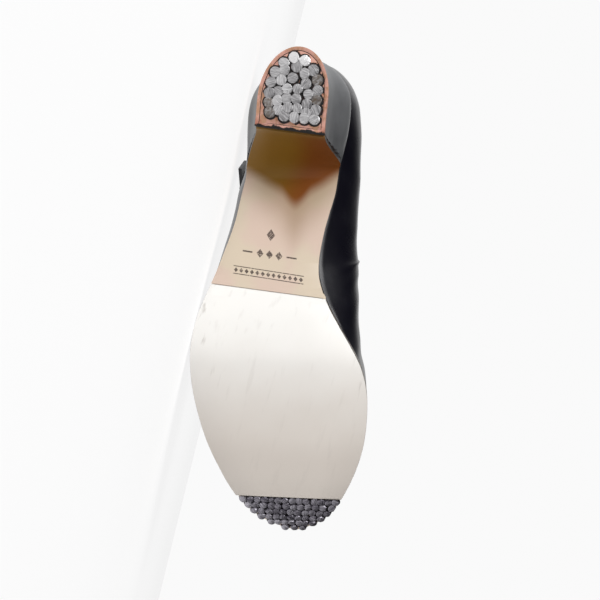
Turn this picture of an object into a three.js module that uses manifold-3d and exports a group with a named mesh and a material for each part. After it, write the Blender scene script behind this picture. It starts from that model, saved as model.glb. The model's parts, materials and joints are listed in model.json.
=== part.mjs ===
// A left flamenco shoe lying on its outer side, in millimetres.
// It is modelled standing on its sole (x from the heel to the toe, y to the
// little-toe side, z up), and then laid down on the three places it rests on.
import * as THREE from 'three';
import Module from 'manifold-3d';
import { ConvexHull } from 'three/addons/math/ConvexHull.js';
import { mergeVertices } from 'three/addons/utils/BufferGeometryUtils.js';

const wasm = await Module();
wasm.setup();

// Driving sizes
const shoeLength = 240;
const ballWidth = 82.3;
const heelPitch = 51;
const toeSpring = 12;
const instepHeight = 100;
const backHeight = 59;
const upperWall = 2;
const feather = 0.8;
const fit = 0.3;

const soleThickness = 3.2;
const foreSoleThickness = 4.8;
const halfSoleThickness = 1.8;
const flapThickness = 1.8;
const insoleThickness = 2;
const insoleClearance = 0.6;

const halfSoleBack = { lateral: 114.3, medial: 120.6 };
const nailedToe = 23;
const halfSoleFront = shoeLength - nailedToe;
const thickeningStart = halfSoleBack.lateral * 0.85;

const topPieceLength = 34.1;
const topPieceWidth = 30.4;
const topPieceBack = 11.5;
const topPieceCorner = 20.5;
const topPieceThickness = 4.6;
const heelAxisAcross = -3.1;
const heelAxisTurn = 0.111;
const heelFrontTurn = 0.146;
const heelFlare = { lateral: { neck: 0.745, curve: 1.45 }, medial: { neck: 0.7, curve: 2.5 } };
const heelBackCurve = 1.2;
const waistEnd = 66;
const breastLean = { top: 9, foot: 2, drop: 17, ahead: 0.7 };
const breastEase = { turned: 0.333, thinned: 0.667 };

const heelNail = { width: 5, head: 1.2, shoulder: 1, pitch: 4.3, border: 4.75, loose: 0.8 };
const toeNail = { width: 4.3, head: 1.7, shoulder: 0.5, pitch: 3.6, border: 2.15, loose: 0.46 };
const nailSeat = 0.1;

const strapWidth = 12;
const strapThickness = 2;
const strapStandOff = 1.6;
const tabWidth = 10;
const tabThickness = 1.4;
const tabLength = 26;
const tabTop = { along: 0.296, height: 0.52, lean: 0.25 };
const buckleWire = 2;
const buckleWindow = { width: 14, length: 13 };
const prong = { width: 1.6, thickness: 1.4 };

// Sections from the heel's back to the toe's tip. along is a share of the length, and the others of
// the ball's width: the sole's two edges, and how far the upper swells past them on each side.
const sections = [
  { along: 0.0290, lateral: -0.029, medial: -0.029, swellLateral: 0.060, swellMedial: 0.060 },
  { along: 0.0371, lateral: 0.091, medial: -0.145, swellLateral: 0.054, swellMedial: 0.058 },
  { along: 0.0575, lateral: 0.188, medial: -0.228, swellLateral: 0.046, swellMedial: 0.057 },
  { along: 0.0933, lateral: 0.271, medial: -0.295, swellLateral: 0.062, swellMedial: 0.055 },
  { along: 0.1333, lateral: 0.306, medial: -0.304, swellLateral: 0.069, swellMedial: 0.070 },
  { along: 0.1917, lateral: 0.316, medial: -0.282, swellLateral: 0.067, swellMedial: 0.100 },
  { along: 0.2500, lateral: 0.323, medial: -0.239, swellLateral: 0.078, swellMedial: 0.141 },
  { along: 0.3000, lateral: 0.349, medial: -0.219, swellLateral: 0.091, swellMedial: 0.154 },
  { along: 0.3583, lateral: 0.375, medial: -0.173, swellLateral: 0.087, swellMedial: 0.194 },
  { along: 0.4167, lateral: 0.422, medial: -0.140, swellLateral: 0.073, swellMedial: 0.222 },
  { along: 0.4583, lateral: 0.462, medial: -0.137, swellLateral: 0.061, swellMedial: 0.242 },
  { along: 0.5000, lateral: 0.510, medial: -0.174, swellLateral: 0.046, swellMedial: 0.214 },
  { along: 0.5417, lateral: 0.554, medial: -0.239, swellLateral: 0.036, swellMedial: 0.155 },
  { along: 0.5833, lateral: 0.577, medial: -0.313, swellLateral: 0.029, swellMedial: 0.072 },
  { along: 0.6250, lateral: 0.583, medial: -0.377, swellLateral: 0.024, swellMedial: 0.014 },
  { along: 0.6708, lateral: 0.577, medial: -0.411, swellLateral: 0.022, swellMedial: 0.008 },
  { along: 0.7208, lateral: 0.552, medial: -0.417, swellLateral: 0.020, swellMedial: 0.006 },
  { along: 0.7833, lateral: 0.502, medial: -0.399, swellLateral: 0.020, swellMedial: 0.010 },
  { along: 0.8417, lateral: 0.435, medial: -0.352, swellLateral: 0.020, swellMedial: 0.014 },
  { along: 0.8958, lateral: 0.362, medial: -0.286, swellLateral: 0.018, swellMedial: 0.015 },
  { along: 0.9417, lateral: 0.276, medial: -0.215, swellLateral: 0.015, swellMedial: 0.015 },
  { along: 0.9667, lateral: 0.204, medial: -0.149, swellLateral: 0.014, swellMedial: 0.014 },
  { along: 0.9867, lateral: 0.103, medial: -0.068, swellLateral: 0.014, swellMedial: 0.014 },
  { along: 0.9958, lateral: -0.002, medial: -0.002, swellLateral: 0.014, swellMedial: 0.014 },
];

// The sole's underside along the shoe: its rise as a share of the heel pitch and of the toe spring.
const underside = [
  { along: 0.000, heel: 1.000, toe: 0 },
  { along: 0.083, heel: 0.947, toe: 0 },
  { along: 0.188, heel: 0.863, toe: 0 },
  { along: 0.258, heel: 0.790, toe: 0 },
  { along: 0.333, heel: 0.608, toe: 0 },
  { along: 0.438, heel: 0.310, toe: 0 },
  { along: 0.542, heel: 0.082, toe: 0 },
  { along: 0.625, heel: 0.000, toe: 0 },
  { along: 0.771, heel: 0.000, toe: 0 },
  { along: 0.854, heel: 0.000, toe: 0.133 },
  { along: 0.938, heel: 0.000, toe: 0.500 },
  { along: 1.000, heel: 0.000, toe: 1.000 },
];

// The last above the sole, as shares of the instep height: the crown of each section and where
// its two sides are widest. fullness is the exponent of the arch from the side to the crown.
const last = [
  { along: 0.00, crown: 1.00, widestLateral: 0.20, widestMedial: 0.20, fullness: 2.0 },
  { along: 0.12, crown: 1.00, widestLateral: 0.22, widestMedial: 0.22, fullness: 2.0 },
  { along: 0.25, crown: 0.95, widestLateral: 0.24, widestMedial: 0.25, fullness: 2.0 },
  { along: 0.33, crown: 0.88, widestLateral: 0.26, widestMedial: 0.30, fullness: 2.0 },
  { along: 0.42, crown: 0.76, widestLateral: 0.25, widestMedial: 0.32, fullness: 2.0 },
  { along: 0.50, crown: 0.64, widestLateral: 0.22, widestMedial: 0.28, fullness: 2.0 },
  { along: 0.58, crown: 0.54, widestLateral: 0.18, widestMedial: 0.22, fullness: 2.1 },
  { along: 0.67, crown: 0.455, widestLateral: 0.15, widestMedial: 0.16, fullness: 2.2 },
  { along: 0.73, crown: 0.40, widestLateral: 0.14, widestMedial: 0.14, fullness: 2.3 },
  { along: 0.79, crown: 0.355, widestLateral: 0.13, widestMedial: 0.13, fullness: 2.3 },
  { along: 0.86, crown: 0.32, widestLateral: 0.12, widestMedial: 0.12, fullness: 2.3 },
  { along: 1.00, crown: 0.25, widestLateral: 0.11, widestMedial: 0.11, fullness: 2.2 },
];

// The collar's edge above the sole, as a share of the height at the back. Past the throat it
// climbs clear of the crown.
const collar = [
  { along: -0.05, height: 0.99 },
  { along: 0.01, height: 1.00 },
  { along: 0.08, height: 0.96 },
  { along: 0.19, height: 0.82 },
  { along: 0.29, height: 0.75 },
  { along: 0.42, height: 0.71 },
  { along: 0.54, height: 0.70 },
  { along: 0.64, height: 0.70 },
  { along: 0.70, height: 0.72 },
  { along: 0.74, height: 0.86 },
  { along: 0.77, height: 1.30 },
];

// Crown ends: past them the sections fan round the heel and the toe.
const crownStart = 0.12;
const crownEnd = 0.855;

/** A curve through a table's column that never overshoots, as a function of millimetres along. */
function alongTable(rows, column, scale) {
  const xs = rows.map((row) => row.along * shoeLength);
  const ys = rows.map((row) => row[column] * scale);
  const chords = xs.slice(1).map((x, i) => (ys[i + 1] - ys[i]) / (x - xs[i]));
  const slopes = xs.map((_, i) => {
    if (i === 0) return chords[0];
    if (i === xs.length - 1) return chords[i - 1];
    const [before, after] = [chords[i - 1], chords[i]];
    return before * after <= 0 ? 0 : (2 * before * after) / (before + after);
  });
  return (x) => {
    if (x <= xs[0]) return ys[0];
    if (x >= xs[xs.length - 1]) return ys[ys.length - 1];
    const i = xs.findIndex((value) => value > x) - 1;
    const span = xs[i + 1] - xs[i];
    const t = (x - xs[i]) / span;
    const rest = 1 - t;
    return ys[i] * (1 + 2 * t) * rest * rest + slopes[i] * span * t * rest * rest
      + ys[i + 1] * t * t * (3 - 2 * t) - slopes[i + 1] * span * t * t * rest;
  };
}

const heelRise = alongTable(underside, 'heel', heelPitch);
const toeRise = alongTable(underside, 'toe', toeSpring);
const undersideAt = (x) => heelRise(x) + toeRise(x);
const smooth = (t) => {
  const s = Math.min(1, Math.max(0, t));
  return s * s * (3 - 2 * s);
};

/** The sole thickens gently towards the ball, where the half sole is let in. */
const stackAt = (x) => {
  const share = smooth((x - thickeningStart) / (halfSoleBack.medial - thickeningStart));
  return soleThickness + (foreSoleThickness - soleThickness) * share;
};
const seatAt = (x) => undersideAt(x) + stackAt(x);

/** Half of the sole's plan outline as points, from the heel's back to the toe's tip. */
function halfOutline(side, inset, swell = () => 0, steps = sections.length * 2 - 2) {
  const lateral = sections.map((s) => new THREE.Vector3(s.along * shoeLength, s.lateral * ballWidth, 0));
  const medial = sections.map((s) => new THREE.Vector3(s.along * shoeLength, s.medial * ballWidth, 0));
  const loop = [...lateral, ...medial.slice(1, -1).reverse()];
  const curve = new THREE.CatmullRomCurve3(loop, true, 'centripetal');
  const half = (sections.length - 1) / loop.length;
  const points = [];
  for (let k = 0; k <= steps; k += 1) {
    const share = k / steps;
    const u = side === 'lateral' ? share * half : (1 - share * half) % 1;
    const point = curve.getPoint(u);
    const run = curve.getTangent(u);
    const out = new THREE.Vector3(-run.y, run.x, 0);
    const grow = swell(share) - inset;
    points.push(point.addScaledVector(out, -grow * loopTurn(loop)));
  }
  return points;
}

/** +1 where a loop of points runs anticlockwise seen from above, -1 where it runs clockwise. */
function loopTurn(loop) {
  const flat = loop.map((p) => new THREE.Vector2(p.x, p.y));
  return THREE.ShapeUtils.isClockWise(flat) ? -1 : 1;
}

/** A section column as a function of the share of rows passed, eased between rows. */
function alongSections(column, scale) {
  return (share) => {
    const place = share * (sections.length - 1);
    const i = Math.min(sections.length - 2, Math.floor(place));
    const t = smooth(place - i);
    return (sections[i][column] * (1 - t) + sections[i + 1][column] * t) * scale;
  };
}

/** Straight reading of a half outline: how far across its edge lies at x. */
function acrossAt(points, x) {
  const i = Math.max(1, points.findIndex((p) => p.x >= x));
  const [a, b] = [points[i - 1], points[i]];
  return a.y + ((b.y - a.y) * (x - a.x)) / (b.x - a.x || 1);
}

/** Closed geometry from rings of equal length, capped at both ends unless the rings close on
 * themselves. Points that fall together are merged and triangles that vanish are dropped. */
function loft(rings, closed = false) {
  const points = rings.flat();
  const n = rings[0].length;
  const faces = [];
  const spans = closed ? rings.length : rings.length - 1;
  for (let r = 0; r < spans; r += 1) {
    const near = r * n;
    const far = ((r + 1) % rings.length) * n;
    for (let k = 0; k < n; k += 1) {
      const next = (k + 1) % n;
      faces.push([near + k, near + next, far + next], [near + k, far + next, far + k]);
    }
  }
  if (!closed) {
    const flat = rings[0].map((_, k) => k);
    faces.push(...capFaces(points, flat).map((f) => f.reverse()));
    faces.push(...capFaces(points, flat.map((k) => (rings.length - 1) * n + k)));
  }
  return bodyOf(points, faces);
}

/** Triangles that fill one ring, worked out in the plane where the ring is largest. */
function capFaces(points, ring) {
  const normal = new THREE.Vector3();
  ring.forEach((index, k) => {
    normal.add(new THREE.Vector3().crossVectors(points[index], points[ring[(k + 1) % ring.length]]));
  });
  if (normal.length() < 1e-6) return [];
  normal.normalize();
  const turn = new THREE.Quaternion().setFromUnitVectors(normal, new THREE.Vector3(0, 0, 1));
  const flat = ring.map((index) => {
    const p = points[index].clone().applyQuaternion(turn);
    return new THREE.Vector2(p.x, p.y);
  });
  return THREE.ShapeUtils.triangulateShape(flat, []).map((f) => f.map((k) => ring[k]));
}

/** Geometry of shared points and triangles, turned outward. */
function bodyOf(points, faces) {
  const raw = new THREE.BufferGeometry();
  raw.setAttribute('position', new THREE.Float32BufferAttribute(points.flatMap((p) => [p.x, p.y, p.z]), 3));
  raw.setIndex(faces.flat());
  const merged = mergeVertices(raw, 1e-4);
  const index = Array.from(merged.index.array);
  const kept = [];
  for (let k = 0; k < index.length; k += 3) {
    const [a, b, c] = index.slice(k, k + 3);
    if (a !== b && b !== c && c !== a) kept.push(a, b, c);
  }
  merged.setIndex(kept);
  return volumeOf(merged) < 0 ? reversed(merged) : merged;
}

/** Volume of a closed geometry, below nothing where its faces point inward. */
function volumeOf(geometry) {
  const at = geometry.attributes.position;
  const index = geometry.index.array;
  const [a, b, c] = [new THREE.Vector3(), new THREE.Vector3(), new THREE.Vector3()];
  let sum = 0;
  for (let k = 0; k < index.length; k += 3) {
    a.fromBufferAttribute(at, index[k]);
    b.fromBufferAttribute(at, index[k + 1]);
    c.fromBufferAttribute(at, index[k + 2]);
    sum += a.dot(b.cross(c)) / 6;
  }
  return sum;
}

/** The same geometry with its faces turned over. */
function reversed(geometry) {
  const index = Array.from(geometry.index.array);
  for (let k = 0; k < index.length; k += 3) [index[k], index[k + 1]] = [index[k + 1], index[k]];
  geometry.setIndex(index);
  return geometry;
}

/** Solid of a closed geometry. */
function solid(geometry) {
  const bare = geometry.clone();
  bare.deleteAttribute('normal');
  bare.deleteAttribute('uv');
  const merged = mergeVertices(bare, 1e-4);
  const index = merged.index.array;
  const kept = [];
  for (let k = 0; k < index.length; k += 3) {
    const [a, b, c] = [index[k], index[k + 1], index[k + 2]];
    if (a !== b && b !== c && c !== a) kept.push(a, b, c);
  }
  return new wasm.Manifold(new wasm.Mesh({
    numProp: 3,
    vertProperties: new Float32Array(merged.attributes.position.array),
    triVerts: new Uint32Array(kept),
  }));
}

/** Geometry of a solid. */
function geometryOf(body) {
  const mesh = body.getMesh();
  const geometry = new THREE.BufferGeometry();
  geometry.setAttribute('position', new THREE.Float32BufferAttribute(mesh.vertProperties, 3));
  geometry.setIndex(Array.from(mesh.triVerts));
  return geometry;
}

/** A side-view outline (x, z and the share of the heel front's turn) pushed out across the shoe. */
function acrossPrism(outline) {
  return solid(loft([-ballWidth, ballWidth].map((y) => outline.map(([x, z, share = 0]) => (
    new THREE.Vector3(x + heelTurnAt(y) * share, y, z)
  )))));
}

// The upper: ribs from the sole's edge out to the widest line and over to the crown
const sides = ['lateral', 'medial'];
const swells = {
  lateral: alongSections('swellLateral', ballWidth),
  medial: alongSections('swellMedial', ballWidth),
};
const soleEdge = Object.fromEntries(sides.map((side) => [side, halfOutline(side, 0)]));
const featherEdge = Object.fromEntries(sides.map((side) => [side, halfOutline(side, feather)]));
const widestEdge = Object.fromEntries(sides.map((side) => [
  side,
  halfOutline(side, feather, swells[side]),
]));
const widestAt = {
  lateral: alongTable(last, 'widestLateral', instepHeight),
  medial: alongTable(last, 'widestMedial', instepHeight),
};
const crownAt = alongTable(last, 'crown', instepHeight);
const fullnessAt = alongTable(last, 'fullness', 1);
const lowerSteps = 3;
const upperSteps = 7;

/** Point of the last's surface at station i, from level 0 at the sole's edge to 1 at the crown. */
function lastPoint(side, i, level) {
  const foot = featherEdge[side][i];
  const wide = widestEdge[side][i];
  const other = featherEdge[side === 'lateral' ? 'medial' : 'lateral'][i];
  const middle = (foot.x + other.x) / 2;
  const along = Math.min(crownEnd * shoeLength, Math.max(crownStart * shoeLength, middle));
  const base = seatAt(foot.x) + fit;
  const shared = i === 0 || i === featherEdge.lateral.length - 1;
  const wideZ = seatAt(wide.x) + fit + widestAt[shared ? 'lateral' : side](wide.x);
  const split = lowerSteps / (lowerSteps + upperSteps);
  if (level <= split) {
    const t = level / split;
    const bow = 1 - (1 - t) ** 2;
    return new THREE.Vector3(
      foot.x + (wide.x - foot.x) * bow,
      foot.y + (wide.y - foot.y) * bow,
      base + (wideZ - base) * t,
    );
  }
  const turn = ((level - split) / (1 - split)) * (Math.PI / 2);
  const power = 2 / fullnessAt(middle);
  const reach = Math.cos(turn) ** power;
  const rise = Math.sin(turn) ** power;
  const crown = new THREE.Vector3(along, crownAcross(along), seatAt(along) + fit + crownAt(along));
  return new THREE.Vector3(
    crown.x + (wide.x - crown.x) * reach,
    crown.y + (wide.y - crown.y) * reach,
    wideZ + (crown.z - wideZ) * rise,
  );
}

/** The crown line runs midway between the two widest lines. */
function crownAcross(x) {
  return (acrossAt(widestEdge.lateral, x) + acrossAt(widestEdge.medial, x)) / 2;
}

/** Outward direction of the last's surface at a station and level. */
function lastNormal(side, i, level) {
  const count = featherEdge[side].length - 1;
  const step = 0.02;
  const [low, high] = [Math.max(0, level - step), Math.min(1 - step / 4, level + step)];
  const up = lastPoint(side, i, high).sub(lastPoint(side, i, Math.min(low, high - step)));
  const ahead = lastPoint(side, Math.min(count, i + 1), Math.min(level, high))
    .sub(lastPoint(side, Math.max(0, i - 1), Math.min(level, high)));
  const normal = side === 'lateral' ? up.cross(ahead) : ahead.cross(up);
  return normal.normalize();
}

/** The closed form of the last, drawn in by inset and, for a cutter, dropped through the bottom. */
function lastForm(inset, drop) {
  const count = featherEdge.lateral.length;
  const levels = lowerSteps + upperSteps;
  const rings = [];
  for (let i = 0; i < count; i += 1) {
    const ring = [];
    const rib = (side) => {
      const points = [];
      for (let k = 0; k <= levels; k += 1) {
        const level = k / levels;
        const point = lastPoint(side, i, level);
        const out = k === levels ? new THREE.Vector3(0, 0, 1) : ribNormal(side, i, level, count);
        point.addScaledVector(out, -inset);
        if (k === 0 && drop > 0) points.push(point.clone().setZ(point.z - drop));
        points.push(point);
      }
      return points;
    };
    ring.push(...rib('lateral'), ...rib('medial').reverse().slice(1));
    rings.push(ring);
  }
  return loft(rings);
}

/** At the heel's and the toe's end the two sides share one rib, so it takes the mean direction. */
function ribNormal(side, i, level, count) {
  if (i > 0 && i < count - 1) return lastNormal(side, i, level);
  return lastNormal('lateral', i, level).add(lastNormal('medial', i, level)).normalize();
}

const collarAt = alongTable(collar, 'height', backHeight);

function makeUpper() {
  const outer = solid(lastForm(0, 0));
  const inner = solid(lastForm(upperWall, soleThickness));
  const first = collar[0].along * shoeLength;
  const end = collar[collar.length - 1].along * shoeLength;
  const steps = 24;
  const edge = [];
  for (let k = 0; k <= steps; k += 1) {
    const x = first + ((end - first) * k) / steps;
    edge.push([x, seatAt(Math.max(0, x)) + collarAt(x)]);
  }
  const ceiling = heelPitch + instepHeight * 2;
  const opening = acrossPrism([...edge, [end, ceiling], [first, ceiling]]);
  return outer.subtract(inner).subtract(opening);
}

// The sole and its flap down the heel's breast

const heelTop = topPieceThickness + heelNail.head + nailSeat;

/** How far across the top piece's side lies from its axis, s millimetres ahead of its back. */
function topPieceHalf(s) {
  if (s <= 0) return 0;
  const rest = 1 - Math.min(1, s / topPieceCorner);
  return (topPieceWidth / 2) * Math.sqrt(1 - rest * rest);
}

const heelAxisAt = (x) => heelAxisAcross + heelAxisTurn * (x - topPieceBack);
const topPieceFront = topPieceBack + topPieceLength;
const sign = (side) => (side === 'lateral' ? 1 : -1);

/** How far the heel's turned front lies ahead of its middle, at a place across. */
function heelTurnAt(y) {
  return -heelFrontTurn * (y - heelAxisAt(topPieceFront));
}

/** Share of the way from the top piece's outline to the seat's on one side, at a height. */
function flare(side, z) {
  const { neck, curve } = heelFlare[side];
  return Math.min(1, Math.max(0, (z - heelTop) / (heelPitch * neck - heelTop))) ** curve;
}

/** How far across the heel's side lies at x and height z. */
function heelAcross(side, x, z) {
  const low = heelAxisAt(x) + sign(side) * topPieceHalf(x - topPieceBack);
  const high = acrossAt(soleEdge[side], x);
  return low + (high - low) * flare(side, z);
}

const breastFoot = { x: topPieceFront + breastLean.ahead, z: heelTop + fit };

/** The sole's visible line from the waist down the hollow breast to the top piece. */
function breastLine(steps) {
  const step = 1;
  const slope = (undersideAt(waistEnd) - undersideAt(waistEnd + step)) / step;
  const { top, foot, drop } = breastLean;
  const line = new THREE.CubicBezierCurve(
    new THREE.Vector2(waistEnd, undersideAt(waistEnd)),
    new THREE.Vector2(waistEnd - top, undersideAt(waistEnd) + top * slope),
    new THREE.Vector2(breastFoot.x + foot, breastFoot.z + drop),
    new THREE.Vector2(breastFoot.x, breastFoot.z),
  );
  const stations = [];
  for (let k = 0; k <= steps; k += 1) {
    const at = line.getPoint(k / steps);
    const run = line.getTangent(k / steps);
    const blend = smooth(k / steps / breastEase.turned);
    const inward = new THREE.Vector2(run.y * blend, 1 - blend - run.x * blend).normalize();
    const upright = stackAt(waistEnd);
    const thick = upright + (flapThickness - upright) * smooth(k / steps / breastEase.thinned);
    stations.push({ at, back: at.clone().addScaledVector(inward, thick), turn: smooth(k / steps) });
  }
  return stations;
}

const breast = breastLine(12);

/** A strip of the sole between two edges, from underside + low to underside + high. */
function soleStrip(stations, low, high) {
  return loft(stations.map(({ left, right }) => [
    new THREE.Vector3(left.x, left.y, low(left.x)),
    new THREE.Vector3(right.x, right.y, low(right.x)),
    new THREE.Vector3(right.x, right.y, high(right.x)),
    new THREE.Vector3(left.x, left.y, high(left.x)),
  ]));
}

/** Underside strip between x = from and to, from low to high above the underside. */
function forepartStrip(from, to, edgeAt, low, high) {
  const stations = [];
  const steps = 36;
  for (let k = 0; k <= steps; k += 1) {
    const x = from + ((to - from) * k) / steps;
    const [left, right] = sides.map((side) => new THREE.Vector3(x, edgeAt(side, x), 0));
    stations.push({ left, right });
  }
  return solid(soleStrip(stations, (x) => undersideAt(x) + low, (x) => undersideAt(x) + high));
}

/** What lies ahead of the half sole's slanting back edge, moved back by a gap. */
function aheadOfBack(body, gap) {
  const { lateral, medial } = halfSoleBack;
  const [left, right] = [acrossAt(soleEdge.lateral, lateral), acrossAt(soleEdge.medial, medial)];
  const ahead = new THREE.Vector2(left - right, medial - lateral).normalize();
  return body.trimByPlane([ahead.x, ahead.y, 0], ahead.x * lateral + ahead.y * left - gap);
}

/** The let-in bed under the forepart, which the half sole and the toe nails fill. */
function forepartBed() {
  const { lateral, medial } = halfSoleBack;
  const from = lateral - (medial - lateral);
  const depth = halfSoleThickness + fit;
  const wide = (side) => sign(side) * ballWidth;
  return aheadOfBack(forepartStrip(from, shoeLength + nailedToe, wide, -heelPitch, depth), fit);
}

function makeOutsole() {
  const rings = [];
  const { lateral, medial } = soleEdge;
  for (let i = lateral.length - 1; i >= 0; i -= 1) {
    if (Math.min(lateral[i].x, medial[i].x) <= waistEnd + 2) break;
    const [l, m] = [lateral[i], medial[i]];
    rings.push([
      new THREE.Vector3(l.x, l.y, undersideAt(l.x)),
      new THREE.Vector3(m.x, m.y, undersideAt(m.x)),
      new THREE.Vector3(m.x, m.y, seatAt(m.x)),
      new THREE.Vector3(l.x, l.y, seatAt(l.x)),
    ]);
  }
  for (const { at, back, turn } of breast) {
    const [l, m] = sides.map((side) => heelAcross(side, Math.max(at.x, breastFoot.x), at.y));
    const corner = (p, y) => new THREE.Vector3(p.x + heelTurnAt(y) * turn, y, p.y);
    rings.push([corner(at, l), corner(at, m), corner(back, m), corner(back, l)]);
  }
  return solid(loft(rings)).subtract(forepartBed());
}

function makeHalfSole() {
  const { lateral, medial } = halfSoleBack;
  const from = lateral - (medial - lateral);
  const edgeAt = (side, x) => acrossAt(soleEdge[side], x);
  return aheadOfBack(forepartStrip(from, halfSoleFront, edgeAt, 0, halfSoleThickness), 0);
}

// The heel

/** One level contour of the heel, from the breast round the back and forward again. */
function heelContour(z) {
  const points = [];
  const turns = 12;
  const backShare = ((z - heelTop) / (heelPitch - heelTop)) ** heelBackCurve;
  const side = (name) => {
    const edge = [];
    const level = flare(name, z);
    for (let k = 0; k <= turns; k += 1) {
      const f = 1 - Math.cos((k / turns) * (Math.PI / 2));
      const low = topPieceBack + f * (waistEnd - topPieceBack);
      const seatBack = sections[0].along * shoeLength;
      const high = seatBack + f * (waistEnd - seatBack);
      const lowY = heelAxisAt(low) + sign(name) * topPieceHalf(low - topPieceBack);
      const highY = acrossAt(soleEdge[name], high);
      const x = low + (high - low) * backShare;
      edge.push(new THREE.Vector3(x, lowY + (highY - lowY) * level, z));
    }
    return edge;
  };
  points.push(...side('lateral').reverse(), ...side('medial').slice(1));
  return points;
}

function makeHeelBlock() {
  const steps = 8;
  const top = heelPitch + soleThickness * 2;
  const rings = [];
  for (let k = 0; k <= steps; k += 1) {
    rings.push(heelContour(heelTop + fit + ((top - heelTop) * k) / steps));
  }
  const front = breast.map(({ back, at, turn }) => {
    const away = back.clone().sub(at).normalize();
    const { x, y } = back.clone().addScaledVector(away, fit);
    return [x, y, turn];
  });
  const underFlap = 2;
  const foot = front[front.length - 1];
  const floor = heelTop + fit / 2;
  const outline = [];
  const seatSteps = 10;
  for (let k = 0; k <= seatSteps; k += 1) {
    const x = (front[underFlap][0] * k) / seatSteps;
    outline.push([x, seatAt(x)]);
  }
  outline.push(...front.slice(underFlap + 1), [foot[0], floor, 1], [0, floor]);
  return solid(loft(rings)).intersect(acrossPrism(outline));
}

function topPieceOutline() {
  const turns = 12;
  const edge = (name) => {
    const points = [];
    for (let k = 0; k <= turns; k += 1) {
      const s = topPieceLength * (1 - Math.cos((k / turns) * (Math.PI / 2)));
      const x = topPieceBack + s;
      points.push(new THREE.Vector2(x, heelAxisAt(x) + sign(name) * topPieceHalf(s)));
    }
    points[turns].x += heelTurnAt(points[turns].y);
    return points;
  };
  return [...edge('lateral').reverse(), ...edge('medial').slice(1)];
}

function makeTopPiece() {
  const outline = topPieceOutline();
  const low = heelNail.head + nailSeat;
  const ring = (z) => outline.map((p) => new THREE.Vector3(p.x, p.y, z));
  return solid(loft([ring(low), ring(low + topPieceThickness)]));
}

// Nails: one flat or domed head, copied over hand-set rows and joined where the heads overlap

/** A number from 0 to 1 that stays the same for the same nail. */
function scatter(seed) {
  const value = Math.sin(seed * 12.9898) * 43758.5453;
  return value - Math.floor(value);
}

/** One head about its axis. Its edge stands upright to the shoulder, a share of the head's height. */
function nailHead({ width, head, shoulder }, turns) {
  const profile = [[0, 0], [width / 2, 0], [width / 2, head * shoulder], [0, head]];
  const points = profile.map(([r, h]) => new THREE.Vector2(r, h));
  return new THREE.LatheGeometry(points, turns).rotateX(-Math.PI / 2);
}

// Heel nails by row from the back: how many, and the middle of the row in shares of the width
const heelNailRows = [
  { count: 3, middle: 0.02 },
  { count: 5, middle: 0.02 },
  { count: 6, middle: 0.00 },
  { count: 6, middle: 0.01 },
  { count: 6, middle: -0.01 },
  { count: 6, middle: 0.00 },
  { count: 5, middle: 0.02 },
];

/** Centres of the heel nails. */
function heelNailPlaces() {
  const { border, loose, pitch } = heelNail;
  const rowPitch = (topPieceLength - 2 * border) / (heelNailRows.length - 1);
  return heelNailRows.flatMap(({ count, middle }, row) => Array.from({ length: count }, (_, k) => {
    const seed = row * 10 + k + 1;
    const across = (k - (count - 1) / 2) * pitch + middle * topPieceWidth;
    const x = topPieceBack + border + rowPitch * row + (scatter(seed) - 0.5) * loose;
    return { x, y: heelAxisAt(x) + across + (scatter(seed + 0.5) - 0.5) * loose };
  }));
}

function makeHeelNails() {
  const head = nailHead(heelNail, 7);
  return joinHeads(heelNailPlaces().map(({ x, y }) => (
    head.clone().translate(x, y, heelNail.head)
  )));
}

/** Centres of the toe nails, row by row inside the sole's edge. */
function toeNailPlaces() {
  const { border, loose, pitch, width } = toeNail;
  const rowPitch = pitch * Math.cos(Math.PI / 6);
  const start = halfSoleFront + fit + width / 2;
  const end = sections[sections.length - 1].along * shoeLength - border * Math.SQRT2;
  const rows = Math.max(1, Math.round((end - start) / rowPitch));
  const places = [];
  for (let row = 0; row <= rows; row += 1) {
    const x = start + ((end - start) * row) / rows;
    const edge = x + border * Math.SQRT1_2;
    const high = acrossAt(soleEdge.lateral, edge) - border;
    const low = acrossAt(soleEdge.medial, edge) + border;
    const count = Math.max(1, Math.round((high - low) / pitch));
    for (let k = 0; k <= count; k += 1) {
      const seed = (row + 10) * 20 + k;
      const inner = k > 0 && k < count ? loose : 0;
      const back = row > 0 ? loose : 0;
      places.push({
        x: x + (scatter(seed) - 0.5) * back,
        y: low + ((high - low) * k) / count + (scatter(seed + 0.5) - 0.5) * inner,
      });
    }
  }
  return places;
}

function makeToeNails() {
  const head = nailHead(toeNail, 6);
  const step = 1;
  return joinHeads(toeNailPlaces().map(({ x, y }) => {
    const lean = Math.atan2(undersideAt(x + step) - undersideAt(x - step), 2 * step);
    return head.clone().rotateY(-lean).translate(x, y, undersideAt(x) + toeNail.head);
  }));
}

function joinHeads(heads) {
  return heads.map((head) => solid(head)).reduce((whole, head) => whole.add(head));
}

// The insole fills the floor of the upper
function makeInsole() {
  const inset = feather + upperWall + insoleClearance;
  const edges = sides.map((side) => halfOutline(side, inset));
  const stations = edges[0].map((left, i) => ({ left, right: edges[1][i] }));
  const floor = (x) => seatAt(x) + fit;
  return solid(soleStrip(stations, floor, (x) => floor(x) + insoleThickness));
}

// The strap: it is sewn inside the inner quarter, follows the last over the instep and comes down
// outside the outer quarter, where its loose end stands off.

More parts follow.
